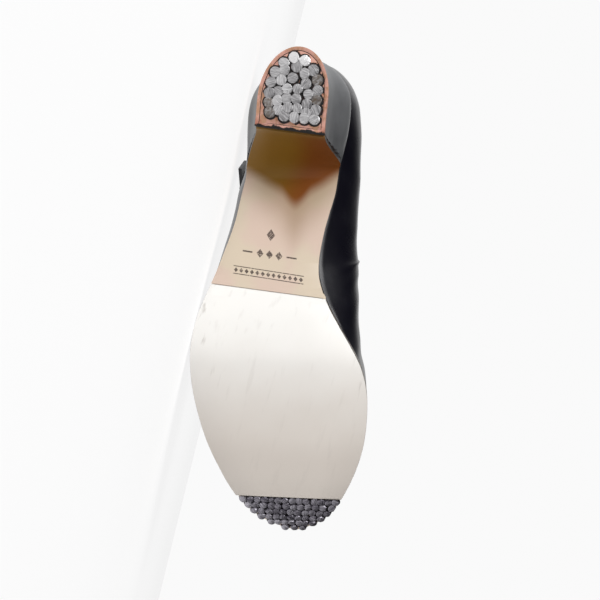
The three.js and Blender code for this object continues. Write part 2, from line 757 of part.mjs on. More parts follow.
/** A point off the last's surface at x millimetres along and a height above the sole. */
function onLast(side, x, height, offset) {
  const edge = widestEdge[side];
  const i = edge.findIndex((p) => p.x >= x);
  const levels = 60;
  const target = seatAt(x) + height;
  let level = 0;
  while (level < 1 && lastPoint(side, i, level).z < target) level += 1 / levels;
  const share = (x - edge[i - 1].x) / (edge[i].x - edge[i - 1].x);
  const normal = lastNormal(side, i - 1, level).lerp(lastNormal(side, i, level), share).normalize();
  const point = lastPoint(side, i - 1, level).lerp(lastPoint(side, i, level), share);
  return { point: point.addScaledVector(normal, offset), normal };
}

const strapUnder = -(upperWall + 2 * fit + strapThickness / 2);
const tabOver = 2 * fit + tabThickness / 2;
const strapOver = 4 * fit + tabThickness + strapThickness / 2;

// Strap stations: along is a share of the length and height of the instep height above the sole.
// under, over and off are shares of how far the strap lies inside the quarter, outside and off it.
const strapRoute = [
  { side: 'medial', along: 0.285, height: 0.24, under: 1.0, over: 0.00, off: 0.0 },
  { side: 'medial', along: 0.288, height: 0.35, under: 1.0, over: 0.00, off: 0.0 },
  { side: 'medial', along: 0.292, height: 0.46, under: 1.0, over: 0.00, off: 0.0 },
  { side: 'medial', along: 0.303, height: 0.56, under: 0.6, over: 0.00, off: 0.0 },
  { side: 'medial', along: 0.320, height: 0.68, under: 0.0, over: 0.33, off: 0.0 },
  { side: 'medial', along: 0.342, height: 0.82, under: 0.0, over: 0.56, off: 0.0 },
  { side: 'lateral', along: 0.345, height: 0.82, under: 0.0, over: 0.56, off: 0.0 },
  { side: 'lateral', along: 0.322, height: 0.68, under: 0.0, over: 0.80, off: 0.0 },
  { side: 'lateral', along: 0.300, height: 0.54, under: 0.0, over: 1.00, off: 0.0 },
  { side: 'lateral', along: 0.285, height: 0.45, under: 0.0, over: 1.00, off: 0.0 },
  { side: 'lateral', along: 0.262, height: 0.38, under: 0.0, over: 1.00, off: 0.3 },
  { side: 'lateral', along: 0.232, height: 0.33, under: 0.0, over: 1.00, off: 1.0 },
];

/** The line and the outward directions of a band laid over the last. */
function bandLine(stations) {
  return {
    line: new THREE.CatmullRomCurve3(stations.map((s) => s.point), false, 'centripetal'),
    outward: new THREE.CatmullRomCurve3(stations.map((s) => s.normal), false, 'centripetal'),
  };
}

/** Axes of a band at a share of its length: along its run, across its width and outward. */
function bandFrame({ line, outward }, share) {
  const t = line.getUtoTmapping(share);
  const at = line.getPoint(t);
  const run = line.getTangent(t);
  const normal = outward.getPoint(t);
  const out = normal.addScaledVector(run, -normal.dot(run)).normalize();
  return { at, run, wide: new THREE.Vector3().crossVectors(out, run), out };
}

/** A flat band along such a line. */
function band(path, width, thickness, steps) {
  const rings = [];
  for (let k = 0; k <= steps; k += 1) {
    const { at, wide, out } = bandFrame(path, k / steps);
    const corner = (w, t) => at.clone()
      .addScaledVector(wide, (w * width) / 2)
      .addScaledVector(out, (t * thickness) / 2);
    rings.push([corner(-1, -1), corner(1, -1), corner(1, 1), corner(-1, 1)]);
  }
  return solid(loft(rings));
}

const strapPath = bandLine(strapRoute.map(({ side, along, height, under, over, off }) => (
  onLast(
    side,
    along * shoeLength,
    height * instepHeight,
    under * strapUnder + over * strapOver + off * strapStandOff,
  )
)));
const strapFrame = (share) => bandFrame(strapPath, share);

const buckleShare = 0.80;

/** A box with its corner sizes along run, wide and out, set on a frame of the strap. */
function blockOn(frame, size, place) {
  const box = new THREE.BoxGeometry(size[0], size[1], size[2]);
  box.translate(place[0], place[1], place[2]);
  const basis = new THREE.Matrix4().makeBasis(frame.run, frame.wide, frame.out);
  basis.setPosition(frame.at);
  return solid(box.applyMatrix4(basis));
}

/** A rectangular frame round the strap: two bars across it above its face and two sides. */
function makeBuckleFrame() {
  const frame = strapFrame(buckleShare);
  const lift = strapThickness / 2 + fit + buckleWire / 2;
  const { width, length } = buckleWindow;
  const outer = blockOn(frame, [length + 2 * buckleWire, width + 2 * buckleWire, buckleWire], [0, 0, lift]);
  const hole = blockOn(frame, [length, width, buckleWire * 3], [0, 0, lift]);
  return outer.subtract(hole);
}

function makeBuckleProng() {
  const frame = strapFrame(buckleShare);
  const lift = strapThickness / 2 + fit + buckleWire / 2;
  const long = buckleWindow.length - 2 * fit;
  return blockOn(frame, [long, prong.width, prong.thickness], [0, 0, lift]);
}

/** The tab that carries the buckle: on the outer quarter's face, up to the buckle. */
function makeTab() {
  const steps = 5;
  const points = [];
  for (let k = 0; k <= steps; k += 1) {
    const drop = (tabLength * k) / steps;
    const along = tabTop.along * shoeLength - drop * tabTop.lean;
    points.push(onLast('lateral', along, tabTop.height * instepHeight - drop, tabOver));
  }
  return band(bandLine(points), tabWidth, tabThickness, 8);
}

// Pieces and their finishes
const black = { color: 0x15151c, roughness: 0.32, metalness: 0 };
const finishes = {
  upper: black,
  insole: { color: 0xb99a78, roughness: 0.6, metalness: 0 },
  outsole: { color: 0xdcc6ab, roughness: 0.45, metalness: 0 },
  half_sole: { color: 0xebe8e2, roughness: 0.4, metalness: 0 },
  heel_block: black,
  top_piece: { color: 0xc98f74, roughness: 0.6, metalness: 0 },
  heel_nails: { color: 0xa6a8ab, roughness: 0.35, metalness: 1 },
  toe_nails: { color: 0x77767c, roughness: 0.4, metalness: 1 },
  instep_strap: black,
  buckle_tab: black,
  buckle_frame: { color: 0xb9b9b5, roughness: 0.3, metalness: 1 },
  buckle_prong: { color: 0xb9b9b5, roughness: 0.3, metalness: 1 },
};
const makers = {
  upper: makeUpper,
  insole: makeInsole,
  outsole: makeOutsole,
  half_sole: makeHalfSole,
  heel_block: makeHeelBlock,
  top_piece: makeTopPiece,
  heel_nails: makeHeelNails,
  toe_nails: makeToeNails,
  instep_strap: () => band(strapPath, strapWidth, strapThickness, 40),
  buckle_tab: makeTab,
  buckle_frame: makeBuckleFrame,
  buckle_prong: makeBuckleProng,
};

const group = new THREE.Group();
for (const [name, make] of Object.entries(makers)) {
  const mesh = new THREE.Mesh(geometryOf(make()), new THREE.MeshStandardMaterial(finishes[name]));
  mesh.name = name;
  group.add(mesh);
}

/** Centre of volume of all pieces. */
function balancePoint(meshes) {
  const centre = new THREE.Vector3();
  let total = 0;
  const [a, b, c] = [new THREE.Vector3(), new THREE.Vector3(), new THREE.Vector3()];
  for (const { geometry } of meshes) {
    const at = geometry.attributes.position;
    const index = geometry.index.array;
    for (let k = 0; k < index.length; k += 3) {
      a.fromBufferAttribute(at, index[k]);
      b.fromBufferAttribute(at, index[k + 1]);
      c.fromBufferAttribute(at, index[k + 2]);
      const part = a.dot(new THREE.Vector3().crossVectors(b, c)) / 6;
      centre.add(a.clone().add(b).add(c).multiplyScalar(part / 4));
      total += part;
    }
  }
  return centre.divideScalar(total);
}

/** The outward direction of the face that the shoe rests on when it lies on its outer side. */
function restingDirection(meshes) {
  const points = meshes.flatMap(({ geometry }) => {
    const at = geometry.attributes.position;
    return Array.from({ length: at.count }, (_, k) => new THREE.Vector3().fromBufferAttribute(at, k));
  });
  const hull = new ConvexHull().setFromPoints(points);
  const centre = balancePoint(meshes);
  let down = new THREE.Vector3(0, 1, 0);
  const mostTurns = 40;
  for (let turn = 0; turn < mostTurns; turn += 1) {
    const exits = hull.faces
      .filter((face) => face.normal.dot(down) > 1e-6)
      .map((face) => ({ face, way: (face.constant - face.normal.dot(centre)) / face.normal.dot(down) }));
    const { face } = exits.reduce((best, item) => (item.way < best.way ? item : best));
    if (face.normal.distanceTo(down) < 1e-6) break;
    down = face.normal.clone();
  }
  return down;
}

/** Lays the group down: its resting face on the floor, the toe towards +X, centred at its base. */
function layDown(target) {
  const up = restingDirection(target.children).negate();
  const toe = new THREE.Vector3(1, 0, 0);
  toe.addScaledVector(up, -toe.dot(up)).normalize();
  const across = new THREE.Vector3().crossVectors(up, toe);
  const turn = new THREE.Matrix4().makeBasis(toe, across, up).invert();
  target.quaternion.setFromRotationMatrix(turn);
  target.updateMatrixWorld(true);
  const box = new THREE.Box3().setFromObject(target, true);
  const middle = box.getCenter(new THREE.Vector3());
  target.position.set(-middle.x, -middle.y, -box.min.z);
  target.updateMatrixWorld(true);
}

layDown(group);

export default group;
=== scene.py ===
"""A left flamenco shoe lying on its outer side, seen from under its sole.

Pieces are shaped in the shoe's own frame, in millimetres: x from the back of the heel to the toe, y towards
the outer side and z up from the tread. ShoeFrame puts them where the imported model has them.
"""

import json
import logging
import math
from dataclasses import dataclass
from enum import Enum
from random import Random
from typing import Callable

import bmesh
import bpy
from mathutils import Matrix, Vector
from mathutils.bvhtree import BVHTree

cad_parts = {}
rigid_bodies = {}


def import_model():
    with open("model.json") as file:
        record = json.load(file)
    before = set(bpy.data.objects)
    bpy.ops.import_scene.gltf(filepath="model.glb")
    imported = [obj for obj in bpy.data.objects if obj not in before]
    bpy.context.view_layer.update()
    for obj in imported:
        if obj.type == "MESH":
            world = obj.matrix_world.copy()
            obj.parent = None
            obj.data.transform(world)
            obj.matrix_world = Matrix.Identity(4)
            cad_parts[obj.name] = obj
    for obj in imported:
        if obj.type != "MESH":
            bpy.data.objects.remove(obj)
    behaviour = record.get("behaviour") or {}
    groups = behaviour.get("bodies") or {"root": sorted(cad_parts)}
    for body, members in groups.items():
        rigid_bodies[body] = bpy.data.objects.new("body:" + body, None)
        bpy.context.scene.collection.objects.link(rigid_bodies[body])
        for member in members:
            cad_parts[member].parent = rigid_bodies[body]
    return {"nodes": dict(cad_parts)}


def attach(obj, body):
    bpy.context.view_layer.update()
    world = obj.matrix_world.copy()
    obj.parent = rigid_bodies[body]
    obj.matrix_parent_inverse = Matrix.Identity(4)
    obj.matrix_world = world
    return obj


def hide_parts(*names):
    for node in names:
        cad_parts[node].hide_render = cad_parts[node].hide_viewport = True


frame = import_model()

LOG = logging.getLogger("shoe")
HEAD_MARKS = "head"
MM = 0.001
MERGE_MM = 0.002
DIVISIONS = 2

# angles in degrees: above which an edge stays sharp, and up to which two triangles make a quad
SHARP = 34.0
QUAD_BEND = 30.0
QUAD_SKEW = 60.0

# layers of noise, and its mean
SOFT = 1.0
ROUGH = 3.0
MEAN = 0.5

Piece = bpy.types.Object
Material = bpy.types.Material
Socket = bpy.types.NodeSocket
Colour = tuple[float, float, float]
Point = tuple[float, float, float]
Span = tuple[float, float]
Place = tuple[float, float]
NailPlace = tuple[Vector, Vector, float, float]


@dataclass(frozen=True)
class ShoeFrame:
    """The shoe's own axes and its heel's zero point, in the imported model's frame."""

    along: Point = (0.966404, 0.0, 0.257027)
    across: Point = (0.253317, 0.169277, -0.952458)
    up: Point = (-0.043509, 0.985569, 0.163590)
    origin_mm: Point = (-114.540843, -58.709327, 9.348427)

    def matrix(self) -> Matrix:
        """Returns the matrix from shoe millimetres to the model's metres."""
        axes = Matrix((self.along, self.across, self.up)).transposed()
        return Matrix.Translation(Vector(self.origin_mm) * MM) @ (axes * MM).to_4x4()

    def turned(self, direction: Point) -> Vector:
        """Returns a direction of the shoe's frame in the model's frame."""
        return Matrix((self.along, self.across, self.up)).transposed() @ Vector(direction)


SHOE = ShoeFrame()
TO_MODEL = SHOE.matrix()
TO_SHOE = TO_MODEL.inverted()


class Slot(Enum):
    """The record's material slots."""

    BLACK_LEATHER = "black_leather"
    LINING = "lining_leather"
    NATURAL = "natural_leather"
    RUBBER = "pale_rubber"
    LIFT = "lift_leather"
    HEEL_STEEL = "bright_nail_steel"
    TOE_STEEL = "dark_nail_steel"
    BUCKLE = "buckle_metal"


class Value:
    """A number that varies over a surface. Python's operators on it add Math nodes."""

    def __init__(self, recipe: "Recipe", socket: Socket) -> None:
        """Keeps the recipe that the socket belongs to."""
        self.recipe = recipe
        self.socket = socket

    def __add__(self, other: "Number") -> "Value":
        """Returns self + other."""
        return self.recipe.math("ADD", self, other)

    __radd__ = __add__

    def __sub__(self, other: "Number") -> "Value":
        """Returns self - other."""
        return self.recipe.math("SUBTRACT", self, other)

    def __rsub__(self, other: "Number") -> "Value":
        """Returns other - self."""
        return self.recipe.math("SUBTRACT", other, self)

    def __mul__(self, other: "Number") -> "Value":
        """Returns self * other."""
        return self.recipe.math("MULTIPLY", self, other)

    __rmul__ = __mul__

    def __truediv__(self, other: "Number") -> "Value":
        """Returns self / other."""
        return self.recipe.math("DIVIDE", self, other)

    def __abs__(self) -> "Value":
        """Returns the value without its sign."""
        return self.recipe.math("ABSOLUTE", self)

    def __mod__(self, other: "Number") -> "Value":
        """Returns the rest of self over other, never negative."""
        return self.recipe.math("FLOORED_MODULO", self, other)

    def least(self, other: "Number") -> "Value":
        """Returns the smaller of self and other."""
        return self.recipe.math("MINIMUM", self, other)

    def most(self, other: "Number") -> "Value":
        """Returns the larger of self and other."""
        return self.recipe.math("MAXIMUM", self, other)

    def fade(self, start: float, end: float) -> "Value":
        """Returns 0 before start and 1 after end, smooth between them; start may be above end.

        Args:
            start: The number at which the result leaves 0.
            end: The number at which the result reaches 1.
        """
        settings = {"interpolation_type": "SMOOTHSTEP"}
        low, high = min(start, end), max(start, end)
        values = {"Value": self, "From Min": low, "From Max": high}
        rise = self.recipe.value("ShaderNodeMapRange", settings, values)
        return rise if start < end else 1 - rise

    def band(self, middle: float, half: float, soft: float) -> "Value":
        """Returns 1 within half of middle, and 0 from soft further out."""
        return abs(self - middle).fade(half + soft, half)


Number = float | Value


class Recipe:
    """One material's nodes: its coordinates, its shader maths and its surface."""

    def __init__(self, name: str) -> None:
        """Makes an empty node material of that name."""
        self.material = bpy.data.materials.new(name)
        self.material.use_nodes = True
        self.tree = self.material.node_tree
        self.tree.nodes.clear()

    def node(self, kind: str, settings: dict | None = None, values: dict | None = None) -> bpy.types.Node:
        """Adds a node.

        Args:
            kind: The node's type.
            settings: Its own settings, set first.
            values: What each of its sockets, by name or number, is set to or linked from.

        Returns:
            The node.
        """
        made = self.tree.nodes.new(kind)
        for name, setting in (settings or {}).items():
            setattr(made, name, setting)
        for name, value in (values or {}).items():
            socket = made.inputs[name]
            if isinstance(value, Value):
                self.tree.links.new(value.socket, socket)
            elif isinstance(value, Socket):
                self.tree.links.new(value, socket)
            else:
                socket.default_value = value
        return made

    def value(self, kind: str, settings: dict | None = None, values: dict | None = None) -> Value:
        """Adds a node and returns its first output as a value."""
        return Value(self, self.node(kind, settings, values).outputs[0])

    def math(self, operation: str, first: Number, second: Number = 0.0) -> Value:
        """Returns a Math node's result."""
        return self.value("ShaderNodeMath", {"operation": operation}, {0: first, 1: second})

    def position(self) -> Socket:
        """Returns the place on the piece, in metres."""
        return self.node("ShaderNodeTexCoord").outputs["Object"]

    def shoe(self) -> tuple[Value, Value, Value]:
        """Returns how far along, across and up a place is in the shoe's own frame, in millimetres."""
        values = {0: self.position(), 1: Vector(SHOE.origin_mm) * MM}
        shifted = self.node("ShaderNodeVectorMath", {"operation": "SUBTRACT"}, values)
        reach = []
        for axis in (SHOE.along, SHOE.across, SHOE.up):
            scaled = Vector(axis) / MM
            values = {0: shifted.outputs[0], 1: scaled}
            dot = self.node("ShaderNodeVectorMath", {"operation": "DOT_PRODUCT"}, values)
            reach.append(Value(self, dot.outputs["Value"]))
        return reach[0], reach[1], reach[2]

    def noise(self, size: float, detail: float = 2.0, places: Socket | None = None) -> Value:
        """Returns noise about 0.5.

        Args:
            size: The size of its patches in millimetres.
            detail: How many finer layers it has.
            places: The coordinates, in metres, if not the piece's own.
        """
        values = {"Vector": places or self.position(), "Scale": 1 / (size * MM), "Detail": detail}
        return self.value("ShaderNodeTexNoise", None, values)

    def cells(self, size: float, feature: str = "F1") -> Value:
        """Returns the distance to the nearest of points that lie about size millimetres apart."""
        values = {"Vector": self.position(), "Scale": 1 / (size * MM)}
        return self.value("ShaderNodeTexVoronoi", {"feature": feature}, values)

    def stretched(self, turn: Point, scale: Point) -> Socket:
        """Returns the piece's coordinates turned and then scaled, for a pattern with a direction."""
        values = {"Vector": self.position(), "Rotation": turn, "Scale": scale}
        return self.node("ShaderNodeMapping", None, values).outputs[0]

    def mix(self, share: Number, first: "Paint", second: "Paint") -> Socket:
        """Returns the colour that goes from first to second as share goes from 0 to 1."""
        # a Mix node's colours go in at its sockets 6 and 7, and come out at 2
        settings = {"data_type": "RGBA"}
        values = {0: share, 6: paint(first), 7: paint(second)}
        return self.node("ShaderNodeMix", settings, values).outputs[2]

    def bump(self, height: Value, depth: float, under: Socket | None = None) -> Socket:
        """Returns the normal over a relief.

        Args:
            height: The relief, where 1 is its full depth.
            depth: The full depth in millimetres.
            under: A normal that it adds to.
        """
        values = {"Height": height, "Strength": 1.0, "Distance": depth * MM}
        if under is not None:
            values["Normal"] = under
        return self.node("ShaderNodeBump", None, values).outputs[0]

    def surface(self, **sockets: object) -> Material:
        """Ends the recipe.

        Args:
            sockets: The surface's sockets by name, with low lines for spaces.

        Returns:
            The finished material.
        """
        values = {}
        for name, value in sockets.items():
            words = name.replace("_", " ").title().replace("Ior", "IOR")
            values[words] = paint(value) if isinstance(value, tuple) else value
        shader = self.node("ShaderNodeBsdfPrincipled", None, values)
        self.node("ShaderNodeOutputMaterial", None, {"Surface": shader.outputs[0]})
        return self.material


Paint = Colour | Socket


def paint(colour: Paint) -> object:
    """Returns a colour with its alpha, or the socket that was given."""
    return (*colour, 1.0) if isinstance(colour, tuple) else colour


def tint(red: int, green: int, blue: int) -> Colour:
    """Returns a colour as it looks, on the scale to 255, in the shader's linear numbers."""
    return tuple(
        share / 12.92 if share <= 0.04045 else ((share + 0.055) / 1.055) ** 2.4
        for share in (red / 255, green / 255, blue / 255)
    )


class SkyRecipe(Recipe):
    """The room's light, worked out with the same maths as a material."""

    def __init__(self, name: str) -> None:
        """Makes an empty node world of that name."""
        self.world = bpy.data.worlds.new(name)
        self.world.use_nodes = True
        self.tree = self.world.node_tree
        self.tree.nodes.clear()

    def light(self, strength: Value) -> bpy.types.World:
        """Ends the recipe with white light of that strength, and returns the world."""
        values = {"Color": (1.0, 1.0, 1.0, 1.0), "Strength": strength}
        sky = self.node("ShaderNodeBackground", None, values)
        self.node("ShaderNodeOutputWorld", None, {"Surface": sky.outputs[0]})
        return self.world


@dataclass(frozen=True)
class CalfSkin:
    """What all the black calf shares: fine pores, soft swells and a thin polish."""

    pore: float = 0.55
    pore_depth: float = 0.012
    swell: float = 9.0
    swell_depth: float = 0.1
    polish: float = 0.12
    polish_roughness: float = 0.2
    specular: float = 0.4

    def surface(self, recipe: Recipe, colour: Paint, roughness: Value) -> Material:
        """Ends a recipe as calf.

        Args:
            recipe: The material's nodes.
            colour: Its colour.
            roughness: Its roughness.

        Returns:
            The finished material.
        """
        pores = recipe.bump(recipe.cells(self.pore), self.pore_depth)
        return recipe.surface(
            base_color=colour,
            roughness=roughness,
            normal=recipe.bump(recipe.noise(self.swell, SOFT), self.swell_depth, pores),
            coat_weight=self.polish,
            coat_roughness=self.polish_roughness,
            specular_ior_level=self.specular,
        )


@dataclass(frozen=True)
class BlackCalf:
    """Smooth glossy black calf with a few rubbed places."""

    name: str = "black_calf"
    colour: Colour = tint(11, 10, 20)
    lighter: Colour = tint(28, 28, 38)
    patch: float = 14.0
    speck: float = 0.8
    worn_patches: Span = (0.56, 0.72)
    worn_specks: Span = (0.5, 0.7)
    worn_share: float = 0.5
    roughness: float = 0.3
    patch_roughness: float = 0.16
    worn_roughness: float = 0.12

    def material(self) -> Material:
        """Returns the leather's material."""
        recipe = Recipe(self.name)
        patches = recipe.noise(self.patch, ROUGH)
        worn = patches.fade(*self.worn_patches) * recipe.noise(self.speck).fade(*self.worn_specks)
        uneven = (patches - MEAN) * self.patch_roughness + worn * self.worn_roughness
        colour = recipe.mix(worn * self.worn_share, self.colour, self.lighter)
        return CalfSkin().surface(recipe, colour, uneven + self.roughness)


@dataclass(frozen=True)
class HeelCalf:
    """The heel's black cover, with a grey reflection painted on its inner side."""

    name: str = "heel_calf"
    colour: Colour = tint(11, 10, 16)
    # the grey of a reflection painted on the inner side
    painted_reflection: Colour = tint(116, 117, 119)
    inner_side: Span = (-3.0, -10.0)
    under_seat: Span = (47.0, 36.0)
    front_to_back: Span = (56.0, 22.0)
    front_share: float = 0.6
    patch: float = 8.0
    least: float = 0.7
    patch_share: float = 0.5
    roughness: float = 0.26
    reflection_roughness: float = 0.16
    patch_roughness: float = 0.1
    skin: CalfSkin = CalfSkin(swell_depth=0.08)

    def material(self) -> Material:
        """Returns the cover's material."""
        recipe = Recipe(self.name)
        along, across, up = recipe.shoe()
        patches = recipe.noise(self.patch, ROUGH)
        backward = along.fade(*self.front_to_back) * (1 - self.front_share) + self.front_share
        # a grey reflection painted on the inner side below the seat, strongest towards the back
        lighter = across.fade(*self.inner_side) * up.fade(*self.under_seat) * backward
        lighter = lighter * (patches * self.patch_share + self.least)
        uneven = lighter * self.reflection_roughness + patches * self.patch_roughness
        colour = recipe.mix(lighter, self.colour, self.painted_reflection)
        return self.skin.surface(recipe, colour, uneven + self.roughness)


@dataclass(frozen=True)
class PatchySurface:
    """A plain surface of two tones in soft patches, with a fine relief."""

    name: str
    colour: Colour
    other: Colour
    patch: float
    layers: float
    limits: Span
    roughness: float
    patch_roughness: float
    fibre: float
    fibre_depth: float
    share: float = 0.6

    def material(self) -> Material:
        """Returns the surface's material."""
        recipe = Recipe(self.name)
        patches = recipe.noise(self.patch, self.layers).fade(*self.limits)
        return recipe.surface(
            base_color=recipe.mix(patches * self.share, self.colour, self.other),
            roughness=patches * self.patch_roughness + self.roughness,
            normal=recipe.bump(recipe.noise(self.fibre), self.fibre_depth),
        )


@dataclass(frozen=True)
class EdgeDressing(PatchySurface):
    """The black-brown dressing on the cut edge of the sole."""

    name: str = "edge_dressing"
    colour: Colour = tint(34, 26, 22)
    other: Colour = tint(92, 66, 48)
    patch: float = 5.0
    layers: float = 3.0
    limits: Span = (0.55, 0.75)
    roughness: float = 0.38
    patch_roughness: float = 0.2
    fibre: float = 0.7
    fibre_depth: float = 0.04


@dataclass(frozen=True)
class GrimeAndShadow(PatchySurface):
    """The black glue and dirt in the lift's groove and between the nail heads, where it is also their
    painted shadow.
    """

    name: str = "grime_and_shadow"
    colour: Colour = tint(16, 12, 12)
    other: Colour = tint(58, 30, 22)
    patch: float = 1.6
    layers: float = 2.0
    limits: Span = (0.5, 0.7)
    roughness: float = 0.7
    patch_roughness: float = 0.1
    fibre: float = 0.5
    fibre_depth: float = 0.08


@dataclass(frozen=True)
class Lining:
    """The tan lining leather inside the shoe."""

    name: str = "lining_leather"
    colour: Colour = tint(196, 160, 122)
    dark: Colour = tint(168, 130, 94)
    patch: float = 18.0
    dark_patches: Span = (0.35, 0.7)
    pore: float = 0.7
    pore_depth: float = 0.03
    roughness: float = 0.58
    pore_roughness: float = 0.12

    def material(self) -> Material:
        """Returns the lining's material."""
        recipe = Recipe(self.name)
        patches = recipe.noise(self.patch, ROUGH).fade(*self.dark_patches)
        pores = recipe.cells(self.pore)
        return recipe.surface(
            base_color=recipe.mix(patches, self.colour, self.dark),
            roughness=pores * self.pore_roughness + self.roughness,
            normal=recipe.bump(pores, self.pore_depth),
        )


@dataclass(frozen=True)
class Border:
    """The small border stamped on the waist: lines of diamonds between thin rules, in millimetres."""

    middle: float = 12.6
    slant: float = 0.14
    blur: float = 0.15
    rule_blur: float = 0.08
    diamond_edge: Span = (1.05, 0.92)
    speck: float = 0.45
    worn_specks: Span = (0.3, 0.45)
    # each row's middle along the shoe, its diamonds' height, pitch and width, and its reach to each side
    diamonds: tuple[tuple[float, ...], ...] = (
        (93.8, 5.6, 7.0, 4.2, 3.4),
        (102.8, 4.0, 4.6, 3.4, 6.8),
        (111.8, 2.2, 2.6, 2.0, 16.8),
    )
    # each rule's middle along the shoe, half its width, its reach and the half of its gap, -1 for none
    rules: tuple[tuple[float, ...], ...] = (
        (102.8, 0.32, 13.0, 8.2),
        (110.1, 0.16, 16.8, -1.0),
        (113.5, 0.16, 16.8, -1.0),
    )

    def mask(self, recipe: Recipe, along: Value, across: Value) -> Value:
        """Returns the share of ink.

        Args:
            recipe: The material's nodes.
            along: How far along the shoe a place is.
            across: How far towards the outer side it is.
        """
        line = along + across * self.slant
        side = across - self.middle
        away = abs(side)
        marks = []
        for middle, height, pitch, width, reach in self.diamonds:
            step = abs((side + pitch / 2) % pitch - pitch / 2)
            shape = abs(line - middle) / (height / 2) + step / (width / 2)
            marks.append(shape.fade(*self.diamond_edge) * away.fade(reach + self.blur, reach))
        for middle, half, reach, gap in self.rules:
            within = away.fade(reach + self.blur, reach) * away.fade(gap, gap + self.blur)
            marks.append(line.band(middle, half, self.rule_blur) * within)
        printed = marks[0]
        for mark in marks[1:]:
            printed = printed.most(mark)
        return printed * recipe.noise(self.speck).fade(*self.worn_specks)


@dataclass(frozen=True)
class WaistLeather:
    """The natural leather of the waist and breast, amber where it turns down the heel: a burnished stain
    and painted shade.

    The stain and its painted shade end in a V, whose tip lies a little to the outer side; a softer painted
    shade lies round it. Sizes are in millimetres.
    """

    name: str = "waist_leather"
    nude: Colour = tint(216, 200, 178)
    pink: Colour = tint(217, 194, 178)
    shade: Colour = tint(158, 130, 100)
    amber: Colour = tint(128, 90, 12)
    deep: Colour = tint(122, 64, 4)
    foot: Colour = tint(138, 104, 50)
    ink: Colour = tint(58, 42, 38)
    tip: float = 1.5
    tip_bend: float = 5.0
    slope: float = 0.62
    tongue: float = 4.5
    tongue_side: float = 8.0
    cloud: float = 16.0
    cloud_reach: float = 4.0
    pink_patch: float = 22.0
    pink_patches: Span = (0.4, 0.62)
    stain_and_shade_waver: float = 0.5
    stain_and_shade_edge: Span = (80.0, 72.0)
    shade_edge: Span = (106.0, 77.0)
    shade_slope: float = 0.4
    shade_share: float = 0.7
    deep_across: float = -1.1
    deep_along: float = 0.55
    deep_edge: Span = (22.0, 42.0)
    foot_edge: Span = (14.0, 5.0)
    foot_share: float = 0.6
    ink_share: float = 0.9
    grain: float = 0.5
    grain_depth: float = 0.015
    grain_roughness: float = 0.14
    stain_and_shade_roughness: float = 0.12
    roughness: float = 0.36
    wax: float = 0.12
    wax_roughness: float = 0.3
    specular: float = 0.35

    def material(self) -> Material:
        """Returns the leather's material."""
        recipe = Recipe(self.name)
        along, across, up = recipe.shoe()
        soft = (recipe.noise(self.cloud, SOFT) - MEAN) * self.cloud_reach
        side = across - self.tip
        bowed = recipe.math("SQRT", side * side + self.tip_bend**2) * self.slope
        tongue = abs(side).fade(self.tongue_side, 0.0) * self.tongue
        reach = along + bowed + soft * self.stain_and_shade_waver - tongue
        # the amber: partly a burnished stain, partly painted shade where the breast turns down to the heel
        stain_and_shade = reach.fade(*self.stain_and_shade_edge)
        # a softer painted shade round the V
        shaded = (reach + abs(side) * self.shade_slope).fade(*self.shade_edge)
        deep = (across * self.deep_across + along * self.deep_along + soft).fade(*self.deep_edge)
        pink = recipe.noise(self.pink_patch).fade(*self.pink_patches)
        leather = recipe.mix(shaded * self.shade_share, recipe.mix(pink, self.nude, self.pink), self.shade)
        low = (up + soft).fade(*self.foot_edge) * self.foot_share
        burnt_and_shaded = recipe.mix(low, recipe.mix(deep, self.amber, self.deep), self.foot)
        leather = recipe.mix(stain_and_shade, leather, burnt_and_shaded)
        printed = Border().mask(recipe, along, across) * self.ink_share
        grain = recipe.noise(self.grain)
        return recipe.surface(
            base_color=recipe.mix(printed, leather, self.ink),
            roughness=grain * self.grain_roughness + stain_and_shade * self.stain_and_shade_roughness + self.roughness,
            normal=recipe.bump(grain, self.grain_depth),
            coat_weight=(1 - stain_and_shade) * self.wax,
            coat_roughness=self.wax_roughness,
            specular_ior_level=self.specular,
        )


@dataclass(frozen=True)
class WhiteRubber:
    """The smooth white half-sole, with shade painted greyer towards the toe, and lightly marked towards its
    sides.
    """

    name: str = "white_rubber"
    white: Colour = tint(250, 248, 244)
    grey: Colour = tint(216, 207, 198)
    mark: Colour = tint(186, 178, 170)
    cloud: float = 30.0
    toe_shade_waver: float = 24.0
    toe_shade_edge: Span = (122.0, 200.0)
    streak: float = 3.0
    streak_squash: float = 0.16
    streak_limits: Span = (0.58, 0.74)
    middle: float = 4.0
    side_waver: float = 14.0
    sides: Span = (30.0, 42.0)
    side_marks: float = 0.7
    middle_marks: float = 0.12
    roughness: float = 0.42
    cloud_roughness: float = 0.12
    mark_roughness: float = 0.15
    grain: float = 0.9
    grain_depth: float = 0.012

    def material(self) -> Material:
        """Returns the rubber's material."""
        recipe = Recipe(self.name)
        along, across, _ = recipe.shoe()
        clouds = recipe.noise(self.cloud, ROUGH)
        # painted shade: greyer towards the toe
        toe = (along + (clouds - MEAN) * self.toe_shade_waver).fade(*self.toe_shade_edge)
        places = recipe.stretched((0.0, 0.0, 0.0), (self.streak_squash, 1.0, 1.0))
        streaks = recipe.noise(self.streak, ROUGH, places).fade(*self.streak_limits)
        side = (abs(across - self.middle) + (clouds - MEAN) * self.side_waver).fade(*self.sides)
        marks = streaks * (side * self.side_marks + self.middle_marks)
        return recipe.surface(
            base_color=recipe.mix(marks, recipe.mix(toe, self.white, self.grey), self.mark),
            roughness=clouds * self.cloud_roughness + marks * self.mark_roughness + self.roughness,
            normal=recipe.bump(recipe.noise(self.grain), self.grain_depth),
        )


